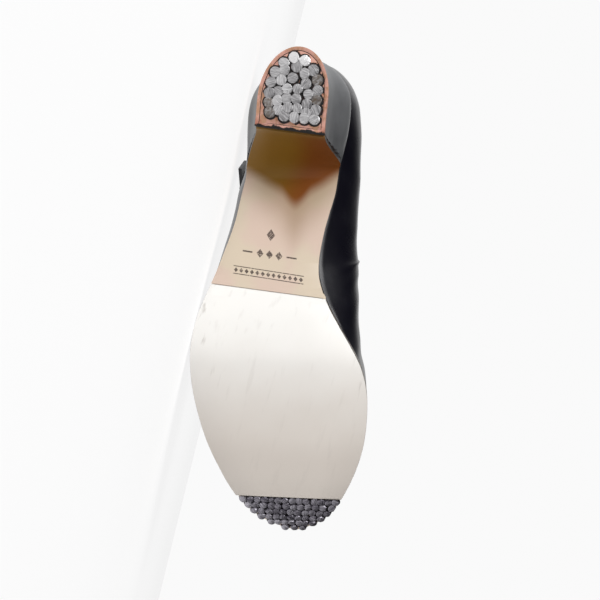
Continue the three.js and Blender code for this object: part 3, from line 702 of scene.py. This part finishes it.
@dataclass(frozen=True)
class LiftLeather:
    """The pinkish leather of the top piece, with black glue along its front edge."""

    name: str = "lift_leather"
    pink: Colour = tint(212, 158, 142)
    tan: Colour = tint(186, 138, 108)
    red: Colour = tint(168, 98, 76)
    glue: Colour = tint(7, 5, 5)
    front: float = 45.6
    front_turn: float = 0.146
    glue_edge: Span = (-1.0, -0.5)
    ragged: float = 2.6
    ragged_reach: float = 3.0
    patch: float = 3.0
    tan_patches: Span = (0.42, 0.62)
    red_patch: float = 1.5
    red_patches: Span = (0.6, 0.72)
    corner_across: float = 0.8
    corner_edge: Span = (53.0, 56.0)
    red_share: float = 0.7
    fibre: float = 0.5
    fibre_depth: float = 0.06
    patch_depth: float = 0.1
    roughness: float = 0.5
    rougher: float = 0.2

    def material(self) -> Material:
        """Returns the leather's material."""
        recipe = Recipe(self.name)
        along, across, _ = recipe.shoe()
        line = along + across * self.front_turn
        ragged = (recipe.noise(self.ragged, ROUGH) - MEAN) * self.ragged_reach
        glue = (line + ragged - self.front).fade(*self.glue_edge)
        patches = recipe.noise(self.patch, ROUGH)
        fibres = recipe.noise(self.fibre, ROUGH)
        base = recipe.mix(patches.fade(*self.tan_patches), self.pink, self.tan)
        red = recipe.noise(self.red_patch, ROUGH).fade(*self.red_patches)
        corner = (abs(across) * self.corner_across + line).fade(*self.corner_edge)
        for share in (red, corner):
            base = recipe.mix(share * self.red_share, base, self.red)
        return recipe.surface(
            base_color=recipe.mix(glue, base, self.glue),
            roughness=(fibres + glue) * self.rougher + self.roughness,
            normal=recipe.bump(fibres, self.fibre_depth, recipe.bump(patches, self.patch_depth)),
        )


@dataclass(frozen=True)
class NailSteel:
    """Steel nail heads, each with its own tone and direction of scratches."""

    name: str
    pale: Colour
    dark: Colour
    dirt: Colour
    roughness: float
    scratch_depth: float
    scratches: float = 2.6
    scratch_squash: float = 0.12
    apart: float = 40.0
    tone_share: float = 0.75
    scratch_share: float = 1.5
    scratch_roughness: float = 0.25
    dent: float = 1.3
    dent_depth: float = 0.22
    dent_share: float = 0.6
    dirt_limits: Span = (0.45, 0.75)
    dirt_share: float = 0.8
    dirt_dulls: float = 0.5
    dirt_roughness: float = 0.2

    def material(self) -> Material:
        """Returns the steel's material. The heads' attribute gives tone, scratch turn and dirt."""
        recipe = Recipe(self.name)
        head = recipe.node("ShaderNodeAttribute", {"attribute_name": HEAD_MARKS})
        parts = recipe.node("ShaderNodeSeparateColor", None, {0: head.outputs["Color"]})
        tone, turn, dirt = (Value(recipe, output) for output in list(parts.outputs)[:3])
        along, across, _ = recipe.shoe()
        angle = turn * math.tau
        cosine, sine = recipe.math("COSINE", angle), recipe.math("SINE", angle)
        lengthwise = (along * cosine + across * sine) * self.scratch_squash
        turned = {0: lengthwise, 1: across * cosine - along * sine, 2: tone * self.apart}
        places = recipe.node("ShaderNodeCombineXYZ", None, turned)
        values = {"Vector": places.outputs[0], "Scale": self.scratches, "Detail": ROUGH}
        lines = recipe.value("ShaderNodeTexNoise", None, values)
        dents = recipe.noise(self.dent)
        scratched = (lines - MEAN) * self.scratch_share
        colour = recipe.mix(tone * self.tone_share + scratched, self.dark, self.pale)
        stain = (dirt + (dents - MEAN) * self.dent_share).fade(*self.dirt_limits)
        uneven = (lines - MEAN) * self.scratch_roughness + stain * self.dirt_roughness
        return recipe.surface(
            base_color=recipe.mix(stain * self.dirt_share, colour, self.dirt),
            metallic=1 - stain * self.dirt_dulls,
            roughness=uneven + self.roughness,
            normal=recipe.bump(lines, self.scratch_depth, recipe.bump(dents, self.dent_depth)),
        )


@dataclass(frozen=True)
class BuckleMetal:
    """The bright plated metal of the buckle."""

    name: str = "buckle_metal"
    colour: Colour = tint(206, 205, 202)
    dull: Colour = tint(150, 148, 145)
    patch: float = 2.0
    dull_patches: Span = (0.5, 0.8)
    dull_share: float = 0.3
    roughness: float = 0.1
    patch_roughness: float = 0.16
    grain: float = 0.4
    grain_depth: float = 0.01

    def material(self) -> Material:
        """Returns the metal's material."""
        recipe = Recipe(self.name)
        wear = recipe.noise(self.patch, ROUGH)
        return recipe.surface(
            base_color=recipe.mix(wear.fade(*self.dull_patches) * self.dull_share, self.colour, self.dull),
            metallic=1.0,
            roughness=wear * self.patch_roughness + self.roughness,
            normal=recipe.bump(recipe.noise(self.grain), self.grain_depth),
        )


class Bench:
    """The bench's own tools: what every piece is selected, joined, placed and shaded with."""

    @staticmethod
    def clear() -> None:
        """Selects nothing."""
        if bpy.context.object and bpy.context.object.mode != "OBJECT":
            bpy.ops.object.mode_set(mode="OBJECT")
        for thing in bpy.context.view_layer.objects:
            thing.select_set(False)

    @staticmethod
    def pick(piece: Piece) -> None:
        """Selects one object alone and makes it active."""
        Bench.clear()
        piece.select_set(True)
        bpy.context.view_layer.objects.active = piece

    @staticmethod
    def edit(piece: Piece) -> bmesh.types.BMesh:
        """Opens a piece in edit mode with nothing selected, and returns its mesh."""
        Bench.pick(piece)
        bpy.ops.object.mode_set(mode="EDIT")
        bpy.ops.mesh.select_all(action="DESELECT")
        return bmesh.from_edit_mesh(piece.data)

    @staticmethod
    def join(pieces: list[Piece], name: str) -> Piece:
        """Returns the objects joined as one of that name."""
        Bench.clear()
        for piece in pieces:
            piece.select_set(True)
        bpy.context.view_layer.objects.active = pieces[0]
        bpy.ops.object.join()
        pieces[0].name = name
        return pieces[0]

    @staticmethod
    def settle(piece: Piece, matrix: Matrix) -> None:
        """Moves the mesh by a matrix and leaves the object itself at the origin."""
        piece.data.transform(matrix @ piece.matrix_basis)
        piece.matrix_basis = Matrix.Identity(4)

    @staticmethod
    def finish(piece: Piece, slot: Slot, node: str, sharp: float = SHARP) -> Piece:
        """Shades a piece smooth, hangs it on the root body and hides the node that it replaces.

        Args:
            piece: The object.
            slot: Not used.
            node: The node that it replaces.
            sharp: The angle, in degrees, above which its edges stay sharp.

        Returns:
            The piece.
        """
        Bench.pick(piece)
        bpy.ops.object.shade_smooth_by_angle(angle=math.radians(sharp))
        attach(piece, "root")
        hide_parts(node)
        LOG.info("%s: %d faces", piece.name, len(piece.data.polygons))
        return piece

    @staticmethod
    def finer(node: str, name: str, *finishes: Material) -> Piece:
        """Copies a node's solid with a smoother surface between its real edges.

        Args:
            node: The node that is copied.
            name: The new piece's name.
            finishes: Its materials, the first of which all its faces have.

        Returns:
            The new piece, in the model's frame.
        """
        piece = bpy.data.objects.new(name, frame["nodes"][node].data.copy())
        piece.data.materials.clear()
        bpy.context.scene.collection.objects.link(piece)
        Bench.edit(piece)
        bpy.ops.mesh.select_all(action="SELECT")
        bpy.ops.mesh.remove_doubles(threshold=MERGE_MM * MM)
        limits = {"face_threshold": math.radians(QUAD_BEND), "shape_threshold": math.radians(QUAD_SKEW)}
        bpy.ops.mesh.tris_convert_to_quads(**limits)
        bpy.ops.object.mode_set(mode="OBJECT")
        Bench.crease(piece.data, math.radians(SHARP))
        Bench.keep_size(piece)
        modifier = piece.modifiers.new("finer", "SUBSURF")
        modifier.levels = modifier.render_levels = DIVISIONS
        Bench.pick(piece)
        bpy.ops.object.modifier_apply(modifier=modifier.name)
        for finish in finishes:
            piece.data.materials.append(finish)
        return piece

    @staticmethod
    def keep_size(piece: Piece, rounds: int = 4, pull: float = 0.8) -> None:
        """Moves the corners so that the divided surface passes through where they were.

        Args:
            piece: The object, before it is divided.
            rounds: How often the corners are corrected.
            pull: The share of the error that a round takes away.
        """
        modifier = piece.modifiers.new("trial", "SUBSURF")
        modifier.levels = DIVISIONS
        wanted = [corner.co.copy() for corner in piece.data.vertices]
        for _ in range(rounds):
            graph = bpy.context.evaluated_depsgraph_get()
            reached = piece.evaluated_get(graph).data.vertices
            moves = [place - reached[k].co for k, place in enumerate(wanted)]
            for corner, move in zip(piece.data.vertices, moves):
                corner.co += move * pull
            piece.data.update()
            bpy.context.view_layer.update()
        piece.modifiers.remove(modifier)

    @staticmethod
    def dress(piece: Piece, width: float, square: float = 1.0) -> None:
        """Bevels the edges between the first finish and the second, and gives the bevel the second.

        Args:
            piece: The object, whose faces have their finishes.
            width: The bevel's width in millimetres.
            square: The angle, in radians, above which an edge is bevelled.
        """
        work = Bench.edit(piece)
        for edge in work.edges:
            finishes = {face.material_index for face in edge.link_faces}
            edge.select_set(finishes == {0, 1} and edge.calc_face_angle(0.0) > square)
        bmesh.update_edit_mesh(piece.data)
        bpy.ops.mesh.bevel(offset=width * MM, segments=1, affect="EDGES", material=1, clamp_overlap=True)
        bpy.ops.object.mode_set(mode="OBJECT")

    @staticmethod
    def crease(mesh: bpy.types.Mesh, limit: float) -> None:
        """Keeps the edges and the corners that turn by more than limit, in radians."""
        work = bmesh.new()
        work.from_mesh(mesh)
        edges = work.edges.layers.float.new("crease_edge")
        corners = work.verts.layers.float.new("crease_vert")
        for edge in work.edges:
            sharp = len(edge.link_faces) != 2 or edge.calc_face_angle(0.0) > limit
            edge[edges] = 1.0 if sharp else 0.0
        for corner in work.verts:
            sharp = [edge for edge in corner.link_edges if edge[edges] > 0]
            if len(sharp) == 2:
                ways = [edge.other_vert(corner).co - corner.co for edge in sharp]
                corner[corners] = 1.0 if math.pi - ways[0].angle(ways[1], math.pi) > limit else 0.0
        work.to_mesh(mesh)
        work.free()


@dataclass(frozen=True)
class Ground:
    """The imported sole, read in the shoe's own frame so that nails sit on it.

    It is probed by rays from below. Its slope is read from a little ahead of a place to a little behind it.
    """

    node: str
    below: float = -50.0
    ahead: float = 0.75
    behind: float = 1.5

    def solid(self) -> bmesh.types.BMesh:
        """Returns the node's solid in shoe millimetres."""
        work = bmesh.new()
        work.from_mesh(frame["nodes"][self.node].data)
        work.transform(TO_SHOE)
        return work

    def spans(self) -> Callable[[float], Span]:
        """Returns a function that gives the solid's inner and outer edge at a place along it."""
        work = self.solid()
        lines = [[end.co.copy() for end in edge.verts] for edge in work.edges]
        work.free()

        def span(along: float) -> Span:
            """Returns the least and the greatest y of the solid at that x."""
            met = []
            for first, second in lines:
                if (first.x - along) * (second.x - along) <= 0 and first.x != second.x:
                    met.append(first.lerp(second, (along - first.x) / (second.x - first.x)).y)
            return (min(met), max(met)) if met else (0.0, 0.0)

        return span

    def probe(self) -> Callable[[float, float], tuple[Vector, Vector]]:
        """Returns a function that gives the solid's underside and the way it faces under a place."""
        work = self.solid()
        tree = BVHTree.FromBMesh(work)
        work.free()

        def level(along: float, across: float) -> float:
            """Returns the height of the point that a ray from below meets."""
            hit = tree.ray_cast(Vector((along, across, self.below)), Vector((0, 0, 1)))[0]
            return (hit or tree.find_nearest(Vector((along, across, 0.0)))[0]).z

        def under(along: float, across: float) -> tuple[Vector, Vector]:
            """Returns the point of the underside, and the way it faces there."""
            rise = level(along + self.ahead, across) - level(along - self.behind, across)
            facing = Vector((rise / (self.ahead + self.behind), 0, -1)).normalized()
            return Vector((along, across, level(along, across))), facing

        return under


@dataclass(frozen=True)
class Nails:
    """A packed field of hammered nail heads, each on a dark disc of dirt and painted shadow that fills the
    gaps round it.

    Sizes are in millimetres. The ranges long, short and tall are those of a head's own scale.
    """

    name: str
    node: str
    slot: Slot
    steel: NailSteel
    radius: float
    height: float
    rounding: float
    sides: int
    fringe: float
    lean: float
    seed: int
    lip: float = 0.01
    bed_depth: float = 0.2
    bed_middle: float = -0.12
    long: Span = (0.96, 1.05)
    short: Span = (0.9, 1.02)
    tall: Span = (0.86, 1.0)
    ragged: float = 0.05
    sharp: float = 28.0

    def disc(self, radius: float, depth: float, middle: float) -> Piece:
        """Returns a round disc on the nail's axis.

        Args:
            radius: Its radius in millimetres.
            depth: Its height.
            middle: The height that its middle is at.
        """
        Bench.clear()
        bpy.ops.mesh.primitive_cylinder_add(
            vertices=self.sides, radius=radius, depth=depth, location=(0, 0, middle)
        )
        disc = bpy.context.object
        Bench.settle(disc, Matrix.Identity(4))
        return disc

    def head(self) -> Piece:
        """Returns one head, struck face down, with its top at the height of the leather."""
        head = self.disc(self.radius, self.height, -self.height / 2)
        work = Bench.edit(head)
        for edge in work.edges:
            edge.select_set(all(corner.co.z < self.lip - self.height for corner in edge.verts))
        bmesh.update_edit_mesh(head.data)
        bpy.ops.mesh.bevel(offset=self.rounding, segments=2, affect="EDGES")
        bpy.ops.object.mode_set(mode="OBJECT")
        return head

    def build(self, places: list[NailPlace]) -> Piece:
        """Sets a head at each place.

        Args:
            places: For each head its point on the leather, the way it faces, its tone and its dirt.

        Returns:
            The heads and the dirt and painted shadow between them, as one piece.
        """
        chance = Random(self.seed)
        steel = self.steel.material()
        grime_and_shadow = bpy.data.materials.get(GrimeAndShadow().name) or GrimeAndShadow().material()
        model = self.head()
        # a dark disc under each head: dirt, and painted shadow in the gaps between the heads
        spot = self.disc(self.radius + self.fringe, self.bed_depth, self.bed_middle)
        made = []
        for point, facing, tone, dirt in places:
            upright = facing.to_track_quat("-Z", "X").to_matrix().to_4x4()
            leans = [Matrix.Rotation(chance.gauss(0, self.lean), 4, axis) for axis in "XY"]
            spin = Matrix.Rotation(chance.uniform(0, math.tau), 4, "Z")
            sizes = [chance.uniform(*reach) for reach in (self.long, self.short, self.tall)]
            shape = Matrix.Diagonal(sizes).to_4x4()
            place = Matrix.Translation(point) @ upright @ leans[0] @ leans[1] @ spin @ shape
            for number, source in enumerate((model, spot)):
                copy = bpy.data.objects.new(source.name, source.data.copy())
                bpy.context.scene.collection.objects.link(copy)
                if source is model:
                    for corner in copy.data.vertices:
                        push = chance.uniform(-self.ragged, self.ragged) * self.radius
                        corner.co += Vector((corner.co.x, corner.co.y, 0)).normalized() * push
                copy.data.transform(place)
                self.tell(copy.data, (tone, chance.random(), dirt, 1.0))
                for face in copy.data.polygons:
                    face.material_index = number
                copy.data.materials.append(steel)
                copy.data.materials.append(grime_and_shadow)
                made.append(copy)
        bpy.data.objects.remove(model)
        bpy.data.objects.remove(spot)
        piece = Bench.join(made, self.name)
        Bench.settle(piece, TO_MODEL)
        return Bench.finish(piece, self.slot, self.node, self.sharp)

    @staticmethod
    def tell(mesh: bpy.types.Mesh, marks: tuple[float, float, float, float]) -> None:
        """Writes one head's tone, scratch turn and dirt to all of its corners."""
        layer = mesh.attributes.new(HEAD_MARKS, "FLOAT_COLOR", "POINT")
        layer.data.foreach_set("color", list(marks) * len(mesh.vertices))


@dataclass(frozen=True)
class HeelNails:
    """The flat heads hammered into the top piece, row by row from the back of the heel."""

    level: float = 1.25
    rows: tuple[tuple[Place, ...], ...] = (
        ((16.1, -1.8), (17.5, -6.3), (18.2, 2.5)),
        ((21.8, 6.3), (21.0, 2.3), (19.9, -2.9), (21.4, -9.9), (22.8, -6.2)),
        ((25.9, 8.1), (25.1, 3.7), (24.3, -1.1), (26.9, -6.8), (25.5, -11.6)),
        ((30.1, 8.9), (29.6, 5.2), (28.7, 1.4), (28.9, -3.2), (31.2, -7.8), (29.7, -11.7)),
        ((34.1, 9.3), (33.4, 5.6), (32.6, 1.6), (32.9, -2.6), (35.1, -7.0), (33.7, -11.3)),
        ((38.2, 9.0), (37.1, 5.3), (36.4, 1.0), (36.9, -3.0), (38.9, -6.8), (37.7, -10.9)),
        ((39.9, 2.6), (40.5, -1.7), (41.0, -6.0), (41.6, -10.2)),
    )
    dirty: tuple[Place, ...] = ((25.5, -11.6), (38.2, 9.0), (33.7, -11.3), (34.1, 9.3))
    dirty_share: float = 0.64
    dirty_loss: float = 0.2
    most_dirt: float = 0.35
    pale_until: float = 18.0
    pale: float = 1.45
    tone: float = 0.66
    tone_spread: float = 0.22
    seed: int = 5
    steel: NailSteel = NailSteel(
        name="heel_nail_steel",
        pale=tint(228, 227, 228),
        dark=tint(94, 91, 94),
        dirt=tint(92, 78, 62),
        roughness=0.42,
        scratch_depth=0.09,
    )

    def places(self) -> list[NailPlace]:
        """Returns each head's point, facing, tone and dirt."""
        chance = Random(self.seed)
        heads = []
        for along, across in [place for row in self.rows for place in row]:
            dirty = (along, across) in self.dirty
            dirt = self.dirty_share if dirty else chance.uniform(0.0, self.most_dirt)
            tone = self.pale if along < self.pale_until else self.tone
            tone += chance.uniform(-self.tone_spread, self.tone_spread) - self.dirty_loss * dirty
            heads.append((Vector((along, across, self.level)), Vector((0, 0, -1)), tone, dirt))
        return heads

    def build(self) -> Piece:
        """Returns the finished heads."""
        sizes = {"radius": 2.38, "height": 1.2, "rounding": 0.3, "sides": 18, "fringe": 0.75, "lean": 0.06}
        nails = Nails("heel_nail_heads", "heel_nails", Slot.HEEL_STEEL, self.steel, **sizes, seed=11)
        return nails.build(self.places())


@dataclass(frozen=True)
class ToeNails:
    """The smaller domed heads packed under the toe."""

    start: float = 219.2
    end: float = 236.4
    rows: int = 6
    pitch: float = 3.55
    inset: float = 1.3
    narrower: float = 1.2
    tip: float = 1.0
    stray_along: float = 0.3
    stray_across: float = 0.25
    tones: Span = (0.18, 0.58)
    worn_from: float = 4.0
    worn_tone: float = 0.38
    most_dirt: float = 0.5
    seed: int = 23
    steel: NailSteel = NailSteel(
        name="toe_nail_steel",
        pale=tint(208, 205, 213),
        dark=tint(72, 67, 78),
        dirt=tint(46, 42, 45),
        roughness=0.4,
        scratch_depth=0.05,
    )

    def places(self) -> list[NailPlace]:
        """Returns each head's point, facing, tone and dirt."""
        ground = Ground("outsole")
        span, under = ground.spans(), ground.probe()
        chance = Random(self.seed)
        heads = []
        for row in range(self.rows):
            along = self.start + (self.end - self.start) * row / (self.rows - 1)
            low, high = span(min(along + self.narrower, self.end + self.tip))
            low, high = low + self.inset, high - self.inset
            count = max(1, round((high - low) / self.pitch))
            for k in range(count + 1):
                x = along + chance.uniform(-self.stray_along, self.stray_along) * (row > 0)
                stray = chance.uniform(-self.stray_across, self.stray_across) * (0 < k < count)
                y = low + (high - low) * k / count + stray
                point, facing = under(x, y)
                worn = y > self.worn_from and (k in (0, count) or row >= self.rows - 2)
                tone = chance.uniform(*self.tones) + self.worn_tone * worn
                heads.append((point, facing, tone, chance.uniform(0.0, self.most_dirt)))
        return heads

    def build(self) -> Piece:
        """Returns the finished heads."""
        sizes = {"radius": 2.05, "height": 2.0, "rounding": 0.7, "sides": 12, "fringe": 0.5, "lean": 0.09}
        nails = Nails("toe_nail_heads", "toe_nails", Slot.TOE_STEEL, self.steel, **sizes, seed=31)
        return nails.build(self.places())


@dataclass(frozen=True)
class Upper:
    """The black upper, lined inside."""

    middle: tuple[Point, ...] = (
        (0, 0, 82),
        (40, 0, 78),
        (80, 2, 70),
        (120, 6, 48),
        (180, 7, 28),
        (240, 3, 20),
    )
    inward: float = 0.25
    sharp: float = 40.0

    def axis(self, along: float) -> Vector:
        """Returns the middle of the inside at a place along the shoe."""
        for first, second in zip(self.middle, self.middle[1:]):
            if along <= second[0]:
                break
        share = min(1.0, max(0.0, (along - first[0]) / (second[0] - first[0])))
        return Vector(first).lerp(Vector(second), share)

    def build(self, calf: Material, lining: Material) -> Piece:
        """Returns the finished upper.

        Args:
            calf: The outer leather.
            lining: The leather inside.
        """
        piece = Bench.finer("upper", "shoe_upper", calf, lining)
        turn = TO_SHOE.to_3x3().normalized()
        for face in piece.data.polygons:
            centre = TO_SHOE @ face.center
            way = (self.axis(centre.x) - centre).normalized()
            face.material_index = 1 if (turn @ face.normal).dot(way) > self.inward else 0
        return Bench.finish(piece, Slot.BLACK_LEATHER, "upper", self.sharp)


@dataclass(frozen=True)
class Sole:
    """The outsole, the half-sole let into it, and the insole."""

    edge_line: float = 0.4
    side_facing: float = 0.72
    toe_from: float = 200.0
    toe_facing: float = 0.6

    def edged(self, piece: Piece, slot: Slot, node: str, toe: bool) -> Piece:
        """Gives a sole its dressed edge and finishes it.

        Args:
            piece: The sole, whose second finish is the dressing.
            slot: The record's slot of its first finish.
            node: The node that it replaces.
            toe: Whether its edge runs round the toe.

        Returns:
            The piece.
        """
        turn = TO_SHOE.to_3x3().normalized()
        for face in piece.data.polygons:
            normal = turn @ face.normal
            front = toe and (TO_SHOE @ face.center).x > self.toe_from and abs(normal.z) < self.toe_facing
            face.material_index = 1 if abs(normal.y) > self.side_facing or front else 0
        Bench.dress(piece, self.edge_line)
        return Bench.finish(piece, slot, node)

    def build(self, lining: Material) -> None:
        """Makes the outsole, the half-sole and the insole.

        Args:
            lining: The insole's leather.
        """
        edge = EdgeDressing().material()
        outsole = Bench.finer("outsole", "sole_leather", WaistLeather().material(), edge)
        self.edged(outsole, Slot.NATURAL, "outsole", toe=True)
        half_sole = Bench.finer("half_sole", "half_sole_rubber", WhiteRubber().material(), edge)
        self.edged(half_sole, Slot.RUBBER, "half_sole", toe=False)
        Bench.finish(Bench.finer("insole", "insole_leather", lining), Slot.LINING, "insole")


@dataclass(frozen=True)
class Heel:
    """The covered heel and its leather top piece."""

    groove_inset: float = 1.5
    groove_width: float = 0.24
    groove_depth: float = 0.25
    tread: float = 1.3
    tread_reach: float = 1.9
    tread_facing: float = -0.9
    groove_facing: Span = (-0.99, -0.2)
    first_inset: float = 0.01
    clear_share: float = 0.97

    def drawn_in(self, outline: list[Vector], inset: float) -> list[Vector]:
        """Draws a closed outline in by a distance, and closes up its corners.

        Args:
            outline: The outline's points in order, in millimetres.
            inset: The distance.

        Returns:
            As many points, inside the outline.
        """
        count = len(outline)
        area = sum(a.cross(b) for a, b in zip(outline, outline[1:] + outline[:1]))
        turn = 1.0 if area > 0 else -1.0
        moved = []
        for k, point in enumerate(outline):
            run = (outline[(k + 1) % count] - outline[k - 1]).normalized()
            moved.append(point + Vector((-run.y, run.x)) * inset * turn)
        least = inset * self.clear_share
        clear = [min((place - point).length for point in outline) > least for place in moved]
        kept = [k for k in range(count) if clear[k]]
        for k in range(count):
            if not clear[k]:
                nearest = min(kept, key=lambda other: min((k - other) % count, (other - k) % count))
                moved[k] = moved[nearest].copy()
        return moved

    def build(self) -> None:
        """Makes the heel block in its black cover, and the top piece."""
        block = Bench.finer("heel_block", "heel_cover", HeelCalf().material())
        Bench.finish(block, Slot.BLACK_LEATHER, "heel_block")
        piece = Bench.finer("top_piece", "top_lift", LiftLeather().material(), GrimeAndShadow().material())
        Bench.settle(piece, TO_SHOE)
        self.score(piece)
        Bench.settle(piece, TO_MODEL)
        Bench.finish(piece, Slot.LIFT, "top_piece")

    def score(self, piece: Piece) -> None:
        """Scores a line round the top piece's tread, and fills it with the second finish."""
        work = Bench.edit(piece)
        for face in work.faces:
            face.select_set(face.normal.z < self.tread_facing)
        bmesh.update_edit_mesh(piece.data)
        bpy.ops.mesh.dissolve_faces()
        outline = None
        for step, depth in enumerate((0.0, self.groove_depth, 0.0)):
            bpy.ops.mesh.inset(thickness=self.first_inset, use_even_offset=False)
            work = bmesh.from_edit_mesh(piece.data)
            corners = list(next(face for face in work.faces if face.select).verts)
            outline = outline or [corner.co.xy for corner in corners]
            line = self.drawn_in(outline, self.groove_inset + step * self.groove_width)
            for corner, place in zip(corners, line):
                corner.co = Vector((place.x, place.y, self.tread + depth))
            bmesh.update_edit_mesh(piece.data)
        work = bmesh.from_edit_mesh(piece.data)
        flattest, steepest = self.groove_facing
        for face in work.faces:
            slanting = flattest < face.normal.z < steepest
            face.material_index = 1 if slanting and face.calc_center_median().z < self.tread_reach else 0
        bmesh.update_edit_mesh(piece.data)
        bpy.ops.object.mode_set(mode="OBJECT")


@dataclass(frozen=True)
class Fastening:
    """The strap over the instep, with its buckle and the tab that holds it."""

    pieces: tuple[tuple[str, str, Slot], ...] = (
        ("instep_strap", "strap_leather", Slot.BLACK_LEATHER),
        ("buckle_tab", "tab_leather", Slot.BLACK_LEATHER),
        ("buckle_frame", "buckle_ring", Slot.BUCKLE),
        ("buckle_prong", "buckle_pin", Slot.BUCKLE),
    )

    def build(self, calf: Material) -> None:
        """Makes the strap, the tab, the frame and the prong.

        Args:
            calf: The straps' leather.
        """
        metal = BuckleMetal().material()
        for node, name, slot in self.pieces:
            piece = Bench.finer(node, name, metal if slot is Slot.BUCKLE else calf)
            Bench.finish(piece, slot, node)


@dataclass(frozen=True)
class Studio:
    """The camera at the photograph's angle, the pale floor, the room and the soft lights.

    The camera's place is in the shoe's own frame, in millimetres. The room is white beyond the shoe.
    """

    eye: Point = (76.4, -30.1, -264.6)
    look: Point = (0.161, 0.098, 0.982)
    down: Point = (0.987, -0.010, -0.161)
    lens: float = 36.0
    sensor: float = 36.0
    nearest: float = 0.01
    farthest: float = 50.0
    room: float = 40.0
    pale: Colour = tint(137, 137, 137)
    duller: Colour = tint(132, 132, 133)
    floor_patch: float = 300.0
    floor_roughness: float = 0.9
    floor_specular: float = 0.05
    floor_glow: float = 0.82
    dim: float = 0.16
    beyond: Span = (0.25, 0.95)
    dark: float = 0.08
    overhead: Span = (0.44, 0.8)
    backdrop: float = 0.955
    aim: Point = (0.0, 0.0, 0.05)
    # each light's name, its place and side in metres, and its power in watts
    lights: tuple[tuple[str, Point, float, float], ...] = (
        ("window", (-0.62, -0.6, 0.45), 0.5, 5.6),
        ("fill", (0.7, -0.9, 0.9), 0.8, 1.6),
    )

    def camera(self) -> None:
        """Sets the camera where the photograph was taken from."""
        forward = SHOE.turned(self.look).normalized()
        down = SHOE.turned(self.down)
        down = (down - forward * down.dot(forward)).normalized()
        turn = Matrix((down.cross(forward), -down, -forward)).transposed().to_4x4()
        data = bpy.data.cameras.new("camera")
        data.lens = self.lens
        data.sensor_width = self.sensor
        data.clip_start = self.nearest
        data.clip_end = self.farthest
        camera = bpy.data.objects.new("camera", data)
        camera.matrix_world = Matrix.Translation(TO_MODEL @ Vector(self.eye)) @ turn
        bpy.context.scene.collection.objects.link(camera)
        bpy.context.scene.camera = camera

    def floor(self) -> None:
        """Lays the pale floor."""
        Bench.clear()
        bpy.ops.mesh.primitive_plane_add(size=self.room, location=(0, 0, 0))
        floor = bpy.context.object
        floor.name = "floor"
        recipe = Recipe("pale_floor")
        floor.data.materials.append(
            recipe.surface(
                base_color=recipe.mix(recipe.noise(self.floor_patch), self.pale, self.duller),
                roughness=self.floor_roughness,
                specular_ior_level=self.floor_specular,
                emission_color=(1.0, 1.0, 1.0),
                emission_strength=self.floor_glow,
            )
        )

    def light(self, name: str, place: Point, size: float, power: float) -> None:
        """Hangs a soft square light that faces the shoe.

        Args:
            name: The light's name.
            place: Where it hangs, in metres.
            size: Its side in metres.
            power: Its power in watts.
        """
        data = bpy.data.lights.new(name, "AREA")
        data.size = size
        data.energy = power
        lamp = bpy.data.objects.new(name, data)
        lamp.location = place
        lamp.rotation_mode = "QUATERNION"
        lamp.rotation_quaternion = (Vector(self.aim) - Vector(place)).to_track_quat("-Z", "Y")
        bpy.context.scene.collection.objects.link(lamp)

    def surroundings(self) -> bpy.types.World:
        """Returns the room: white beyond the shoe, and dimmer above it and behind the camera."""
        recipe = SkyRecipe("studio")
        way = recipe.node("ShaderNodeTexCoord").outputs["Generated"]
        split = recipe.node("ShaderNodeSeparateXYZ", None, {0: way})
        beyond = Value(recipe, split.outputs["Y"]).fade(*self.beyond) * (1 - self.dim) + self.dim
        overhead = 1 - Value(recipe, split.outputs["Z"]).fade(*self.overhead) * (1 - self.dark)
        seen = Value(recipe, recipe.node("ShaderNodeLightPath").outputs["Is Camera Ray"])
        return recipe.light(beyond * overhead * (1 - seen) + seen * self.backdrop)

    def build(self) -> None:
        """Sets up the whole studio."""
        self.camera()
        self.floor()
        for light in self.lights:
            self.light(*light)
        bpy.context.scene.world = self.surroundings()
        bpy.context.scene.view_settings.view_transform = "Standard"


def main() -> None:
    """Builds the studio and the shoe, piece by piece."""
    logging.basicConfig(level=logging.INFO)
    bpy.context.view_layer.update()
    Studio().build()
    calf = BlackCalf().material()
    lining = Lining().material()
    Upper().build(calf, lining)
    Sole().build(lining)
    Heel().build()
    HeelNails().build()
    ToeNails().build()
    Fastening().build(calf)


if __name__ == "__main__":
    main()
